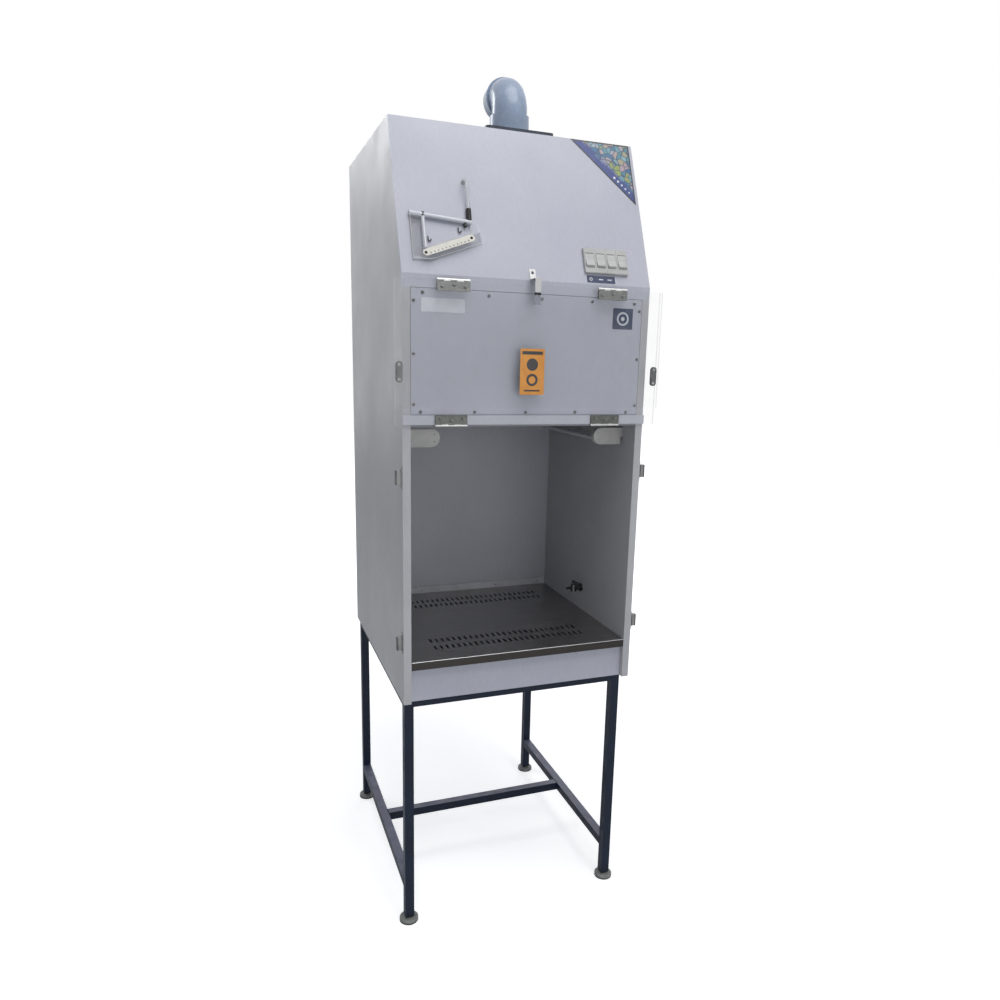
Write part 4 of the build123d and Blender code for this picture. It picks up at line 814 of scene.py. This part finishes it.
def slope_plate(name, outline, off, thick, material):
    """A thin plate on the slope, from an outline of (mm from the cabinet's left face, mm up the slope)."""
    left = outline[0][0]
    base = on_slope(left - HALF_WIDTH / MM, outline[0][1], off)
    shape = [(u - left, v - outline[0][1]) for u, v in outline]
    return flat_shape(name, shape, thick, base, RIGHT, SLOPE_OUT, "cabinet", material)


def box_outline(left, right, low, high):
    """Corners of a rectangle, in the order in which a plate's outline is drawn."""
    return [(left, low), (right, low), (right, high), (left, high)]


STRIP = (470, 552, 2, 25)
STRIP_EDGE = 1.5
strip_middle = (STRIP[2] + STRIP[3]) / 2
slope_plate("switch_strip_edge", box_outline(*STRIP), 0.05, 0.3, PALE_PRINT)
slope_plate("switch_strip", box_outline(STRIP[0] + STRIP_EDGE, STRIP[1] - STRIP_EDGE, STRIP[2] + STRIP_EDGE,
                                        STRIP[3] - STRIP_EDGE), 0.35, 0.15, NAVY)
disc("switch_strip_ring", on_slope(483 - HALF_WIDTH / MM, strip_middle, 0.5), SLOPE_OUT, 4.5 * MM, 0.1 * MM,
     "cabinet", PALE_PRINT, hole=2.6 * MM)
strip_bar_length, strip_bar_half = 12, 1.5
for number, start in enumerate((505, 529)):
    slope_plate(f"switch_strip_bar_{number}", box_outline(start, start + strip_bar_length,
                                                          strip_middle - strip_bar_half,
                                                          strip_middle + strip_bar_half), 0.5, 0.1, PALE_PRINT)
SWITCHES = span("switch_plate")
switch_middle = (SWITCHES[0][0] + SWITCHES[0][1]) / 2 / MM + HALF_WIDTH / MM
switch_pitch = (SWITCHES[0][1] - SWITCHES[0][0]) / MM / 4
seam_low, seam_high, seam_half, seam_off = 29, 92, 0.4, 8.0
for number in (-1, 0, 1):
    seam = switch_middle + number * switch_pitch
    slope_plate(f"switch_seam_{number + 2}", box_outline(seam - seam_half, seam + seam_half, seam_low, seam_high),
                seam_off, 0.06, DULL_ZINC)


def inset_triangle(margin):
    """The corner triangle drawn in by an even margin."""
    left, low, right, high = TRIANGLE[0][0], TRIANGLE[1][1], TRIANGLE[1][0], TRIANGLE[0][1]
    far = margin * (1 + math.sqrt(2))
    return [(left + far, high - margin), (right - margin, low + far), (right - margin, high - margin)]


slope_plate("corner_print_border", list(TRIANGLE), 0.05, 0.3, INK)
slope_plate("corner_print_cells", inset_triangle(3.5), 0.35, 0.1, CELLS)
first_dot, dot_step, dot_inset, largest_dot, dot_shrink = 588, 9.5, 17, 3.4, 0.25
for number in range(5):
    across_mm = first_dot + number * dot_step
    up_mm = sum(TRIANGLE[0]) - across_mm + dot_inset
    disc(f"corner_print_dot_{number}", on_slope(across_mm - HALF_WIDTH / MM, up_mm, 0.45), SLOPE_OUT,
         (largest_dot - dot_shrink * number) * MM, 0.1 * MM, "cabinet", PALE_PRINT)

# ---------------------------------------------------------------- manometer fittings and hose
GAUGE_THICK, SCALE_THICK = 14.0, 1.6
SCALE_START = (51.75, 42.4)  # the round end of the scale: mm from the cabinet's left face, mm up the slope
SCALE_TILT = math.radians(21.5)
DOT_COUNT, DOT_START, DOT_PITCH, DOT_DROP = 11, 18, 10.2, 4.2
DOT_RADIUS, DOT_THICK = 1.5 * MM, 0.2 * MM


def gauge_point(from_left, up, off):
    """A point by the gauge: mm from the cabinet's left face, mm up the slope and mm off it."""
    return on_slope(from_left - HALF_WIDTH / MM, up, off)


scale_axis = RIGHT * math.cos(SCALE_TILT) + SLOPE_UP * math.sin(SCALE_TILT)
scale_rise = SLOPE_OUT.cross(RIGHT) * math.cos(SCALE_TILT) - RIGHT * math.sin(SCALE_TILT)
scale_from = gauge_point(*SCALE_START, GAUGE_THICK + SCALE_THICK)
dot_mesh = bmesh.new()
for number in range(DOT_COUNT):
    place = scale_from + scale_axis * ((DOT_START + DOT_PITCH * number) * MM) - scale_rise * (DOT_DROP * MM)
    made = turned([(0, 0), (DOT_RADIUS, 0), (DOT_RADIUS, DOT_THICK), (0, DOT_THICK)], 10)
    turn_to(made, place, SLOPE_OUT)
    spare = bpy.data.meshes.new("dot")
    made.to_mesh(spare)
    made.free()
    dot_mesh.from_mesh(spare)
    bpy.data.meshes.remove(spare)
piece("gauge_scale_dots", from_bmesh("gauge_scale_dots", dot_mesh, smooth=False), "cabinet", INK, slot="dark_plastic")
scale_screws = [(scale_from + scale_axis * (along * MM), SLOPE_OUT) for along in (7, 130)]
fastenings("gauge_scale_screws", "cabinet", scale_screws, SMALL_PAN, material=BLACK, size=1.15)

hook_bend = ((0, 9), (0, 3), (0.5, -2), (3, -4), (6, -2), (7, 2))
for label, from_left, up in (("left", 70, 84), ("right", 146, 112)):
    hook = [gauge_point(from_left + u, up + v, 3) for u, v in hook_bend]
    sweep_tube(f"gauge_hook_{label}", hook, 1.3 * MM, "cabinet", DARK_METAL)

HOSE_RADIUS = 5.5 * MM
hose_route = [gauge_point(*spot) for spot in (
    (175, 155, 7), (175, 164, 7), (175, 178, 7.5), (174.6, 192, 10), (173.6, 208, 16), (172.4, 224, 23),
    (171.4, 236, 20), (171, 241, 10), (171, 241.5, -2))]
sweep_tube("pressure_hose_clear", hose_route, HOSE_RADIUS, "cabinet", HOSE_CLEAR, segments=16, slot="clear_acrylic",
           replaces=("pressure_hose",))
ferrule = [gauge_point(*spot) for spot in ((174, 138, 7), (174.6, 150, 7), (175, 168, 7.2))]
sweep_tube("hose_ferrule", ferrule, 6.4 * MM, "cabinet", RUBBER, segments=16, slot="dark_plastic")
disc("hose_hole_shadow", gauge_point(171, 241, 0.05), SLOPE_OUT, 7.4 * MM, 0.2 * MM, "cabinet", WHITE,
     hole=5.7 * MM)
disc("gauge_tube_cap", gauge_point(60.5, 140, 7), SLOPE_UP, 5.6 * MM, 9 * MM, "cabinet", BLACK)
disc("gauge_port_black", gauge_point(163, 122, 7), SLOPE_UP, 4 * MM, 12 * MM, "cabinet", BLACK)

# ---------------------------------------------------------------- duct rims
DUCT = span("duct_elbow")
FLANGE_SPAN = span("duct_flange")
duct_mid = Vector(((FLANGE_SPAN[0][0] + FLANGE_SPAN[0][1]) / 2, (FLANGE_SPAN[1][0] + FLANGE_SPAN[1][1]) / 2, 0))
socket_low, elbow_top = DUCT[2]
RIM_RADIUS, RIM_THICK = 51.4 * MM, 0.6 * MM
SOCKET_HEIGHT, BEND_RADIUS, ELBOW_HALF = 47 * MM, 53 * MM, 52 * MM
ELBOW_TURN = math.radians(6)


def elbow_rim(name, centre, axis):
    """A raised rim round the elbow, about an axis."""
    section = [TAU * step / 8 for step in range(9)]
    shell = turned([(RIM_RADIUS + RIM_THICK * math.cos(a), RIM_THICK * math.sin(a)) for a in section], 48)
    bmesh.ops.remove_doubles(shell, verts=shell.verts[:], dist=1e-7)
    turn_to(shell, centre, axis)
    return piece(name, from_bmesh(name, shell), "cabinet", PIPE, slot="pipe_plastic")


outlet_way = Vector((math.sin(ELBOW_TURN), math.cos(ELBOW_TURN), 0))
outlet_mid = duct_mid + outlet_way * BEND_RADIUS + UP * (elbow_top - ELBOW_HALF)
elbow_rim("elbow_lower_rim", duct_mid + UP * (socket_low + SOCKET_HEIGHT), UP)
elbow_rim("elbow_foot_rim", duct_mid + UP * (socket_low + 2 * MM), UP)
elbow_rim("elbow_outlet_root_rim", outlet_mid + outlet_way * (2 * MM), outlet_way)
elbow_rim("elbow_outlet_rim", outlet_mid + outlet_way * (38 * MM), outlet_way)

# ---------------------------------------------------------------- weld beads on the stand
LEG_TUBE = 25 * MM
CROSS_RAIL_SETBACK = 386 * MM  # from the cabinet's front to the cross stretcher
BEAD_PITCH, BEAD_EDGE, BEAD_END = 2.2 * MM, 1 * MM, 2 * MM
blob = bmesh.new()
bmesh.ops.create_icosphere(blob, subdivisions=2, radius=2.1 * MM)
bmesh.ops.scale(blob, vec=(1.0, 1.0, 0.75), verts=blob.verts[:])
BEAD = bpy.data.objects.new("weld_bead_pattern", from_bmesh("weld_bead_pattern", blob))
BEAD.data.materials.append(WELD)
leg_centres_x = (LEG_SPAN[0][0] + LEG_TUBE / 2, LEG_SPAN[0][1] - LEG_TUBE / 2)
leg_centres_y = (LEG_SPAN[1][0] + LEG_TUBE / 2, LEG_SPAN[1][1] - LEG_TUBE / 2)
rail_tops = (LEG_SPAN[2][1], RAIL_SPAN[2][0] + LEG_TUBE)
cross_middle = FRONT + CROSS_RAIL_SETBACK + LEG_TUBE / 2
beads = []


def bead_line(first, last, out):
    """Closely spaced beads between two points."""
    count = max(2, int((last - first).length / BEAD_PITCH))
    for i in range(count + 1):
        beads.append((first.lerp(last, i / count), out))


def upright_bead(x, y, top, out):
    """A line of beads up the end of a rail."""
    low = Vector((x, y, top - LEG_TUBE + BEAD_END))
    bead_line(low, low + UP * (LEG_TUBE - 2 * BEAD_END), out)


for x in leg_centres_x:
    inward = -math.copysign(1, x)
    joint_x = x + inward * LEG_TUBE / 2
    for y in leg_centres_y:
        into = 1 if y < sum(leg_centres_y) / 2 else -1
        for top in rail_tops:
            for side in (-1, 1):
                upright_bead(x + side * (LEG_TUBE / 2 - BEAD_EDGE), y + into * LEG_TUBE / 2, top, RIGHT * side)
        upright_bead(joint_x, y - LEG_TUBE / 2 + BEAD_EDGE, rail_tops[0], TOWARDS_USER)
    for side in (-1, 1):
        upright_bead(joint_x, cross_middle + side * (LEG_TUBE / 2 - BEAD_EDGE), rail_tops[1], TOWARDS_USER * -side)
    near = Vector((joint_x, cross_middle - LEG_TUBE / 2 + BEAD_END, rail_tops[1] - 0.6 * MM))
    bead_line(near, near + Vector((0, LEG_TUBE - 2 * BEAD_END, 0)), UP)
fastenings("stand_weld_beads", "cabinet", beads, BEAD, material=WELD, slot="stand_paint")

# ---------------------------------------------------------------- floor, light and camera
floor_mesh = bpy.data.meshes.new("floor")
floor_mesh.from_pydata([(-14, -14, 0), (14, -14, 0), (14, 14, 0), (-14, 14, 0)], [], [(0, 1, 2, 3)])
floor = added("floor", floor_mesh)
floor.location.z = cad_low.z
ground = Finish("studio_floor", rough=0.9)
ground.shader.inputs["Base Color"].default_value = colour("F4F5F7")
ground.shader.inputs["Emission Color"].default_value = (1, 1, 1, 1)
seen = ground.put("ShaderNodeLightPath")
spread = ground.put("ShaderNodeVectorMath", {0: ground.where}, operation="LENGTH").outputs["Value"]
far = ground.put("ShaderNodeMapRange", {"From Min": 0.9, "From Max": 3.0, "To Min": 0.55, "To Max": 1.0,
                                        "Value": spread})
ground.wire(ground.maths("MULTIPLY", seen.outputs["Is Camera Ray"], far.outputs["Result"]),
            ground.shader.inputs["Emission Strength"])
floor_mesh.materials.append(ground.material)

world = bpy.data.worlds.new("studio")
bpy.context.scene.world = world
world.use_nodes = True
new_node, join = world.node_tree.nodes.new, world.node_tree.links.new
sky = world.node_tree.nodes["Background"]
sky.inputs["Color"].default_value = (0.93, 0.96, 1.0, 1)
sky.inputs["Strength"].default_value = 0.22
backdrop = new_node("ShaderNodeBackground")
backdrop.inputs["Color"].default_value = (1, 1, 1, 1)
backdrop.inputs["Strength"].default_value = 1.0
path = new_node("ShaderNodeLightPath")
either, last = new_node("ShaderNodeMath"), new_node("ShaderNodeMath")
either.operation = last.operation = "MAXIMUM"
join(path.outputs["Is Camera Ray"], either.inputs[0])
join(path.outputs["Is Transmission Ray"], either.inputs[1])
join(either.outputs[0], last.inputs[0])
join(path.outputs["Is Glossy Ray"], last.inputs[1])
pick = new_node("ShaderNodeMixShader")
for number, source in enumerate((last, sky, backdrop)):
    join(source.outputs[0], pick.inputs[number])
join(pick.outputs[0], world.node_tree.nodes["World Output"].inputs["Surface"])


def softbox(name, place, target, size, power, tint):
    """A large rectangular area light aimed at a point."""
    lamp = bpy.data.lights.new(name, "AREA")
    lamp.shape, lamp.size, lamp.size_y = "RECTANGLE", size[0], size[1]
    lamp.energy = power
    lamp.color = tint
    holder = added(name, lamp)
    holder.location = place
    holder.rotation_euler = (Vector(target) - Vector(place)).to_track_quat("-Z", "Y").to_euler()


softbox("overhead", (0.2, -1.6, 4.6), (0, 0, 1.4), (2.8, 2.8), 82, (1.0, 0.99, 0.98))
softbox("front", (0.5, -4.3, 1.4), (0, 0, 1.1), (2.2, 2.2), 29, (0.98, 0.99, 1.0))
softbox("rear_left", (-1.35, 1.9, 2.95), (-0.3, 0.2, 1.9), (1.0, 1.0), 21, (0.96, 0.98, 1.0))
softbox("rear_fill", (1.8, 3.6, 2.8), (0, 0, 1.2), (2.6, 2.6), 20, (0.98, 0.99, 1.0))

camera_data = bpy.data.cameras.new("camera")
camera = added("camera", camera_data)
bpy.context.scene.camera = camera
CAMERA_PLACE = (-0.72914, FRONT - 1.85288, 1.55285)
SENSOR_WIDTH, FOCAL_SHARE = 36.0, 0.782609  # the focal length is a share of the frame's width
yaw, pitch, roll = 0.3664, 0.2091, 0.0259
ahead = Vector((math.sin(yaw) * math.cos(pitch), math.cos(yaw) * math.cos(pitch), -math.sin(pitch)))
level = Vector((math.cos(yaw), -math.sin(yaw), 0))
above = level.cross(ahead)
across = level * math.cos(roll) + above * math.sin(roll)
upright = above * math.cos(roll) - level * math.sin(roll)
turn = Matrix((across, upright, -ahead)).transposed()
camera.matrix_world = Matrix.Translation(CAMERA_PLACE) @ turn.to_4x4()
camera_data.sensor_width = SENSOR_WIDTH
camera_data.lens = SENSOR_WIDTH * FOCAL_SHARE
camera_data.shift_x, camera_data.shift_y = -0.019876, 0.024676
camera_data.clip_start, camera_data.clip_end = 0.05, 60
bpy.context.scene.view_settings.view_transform = "Standard"

bpy.context.view_layer.update()
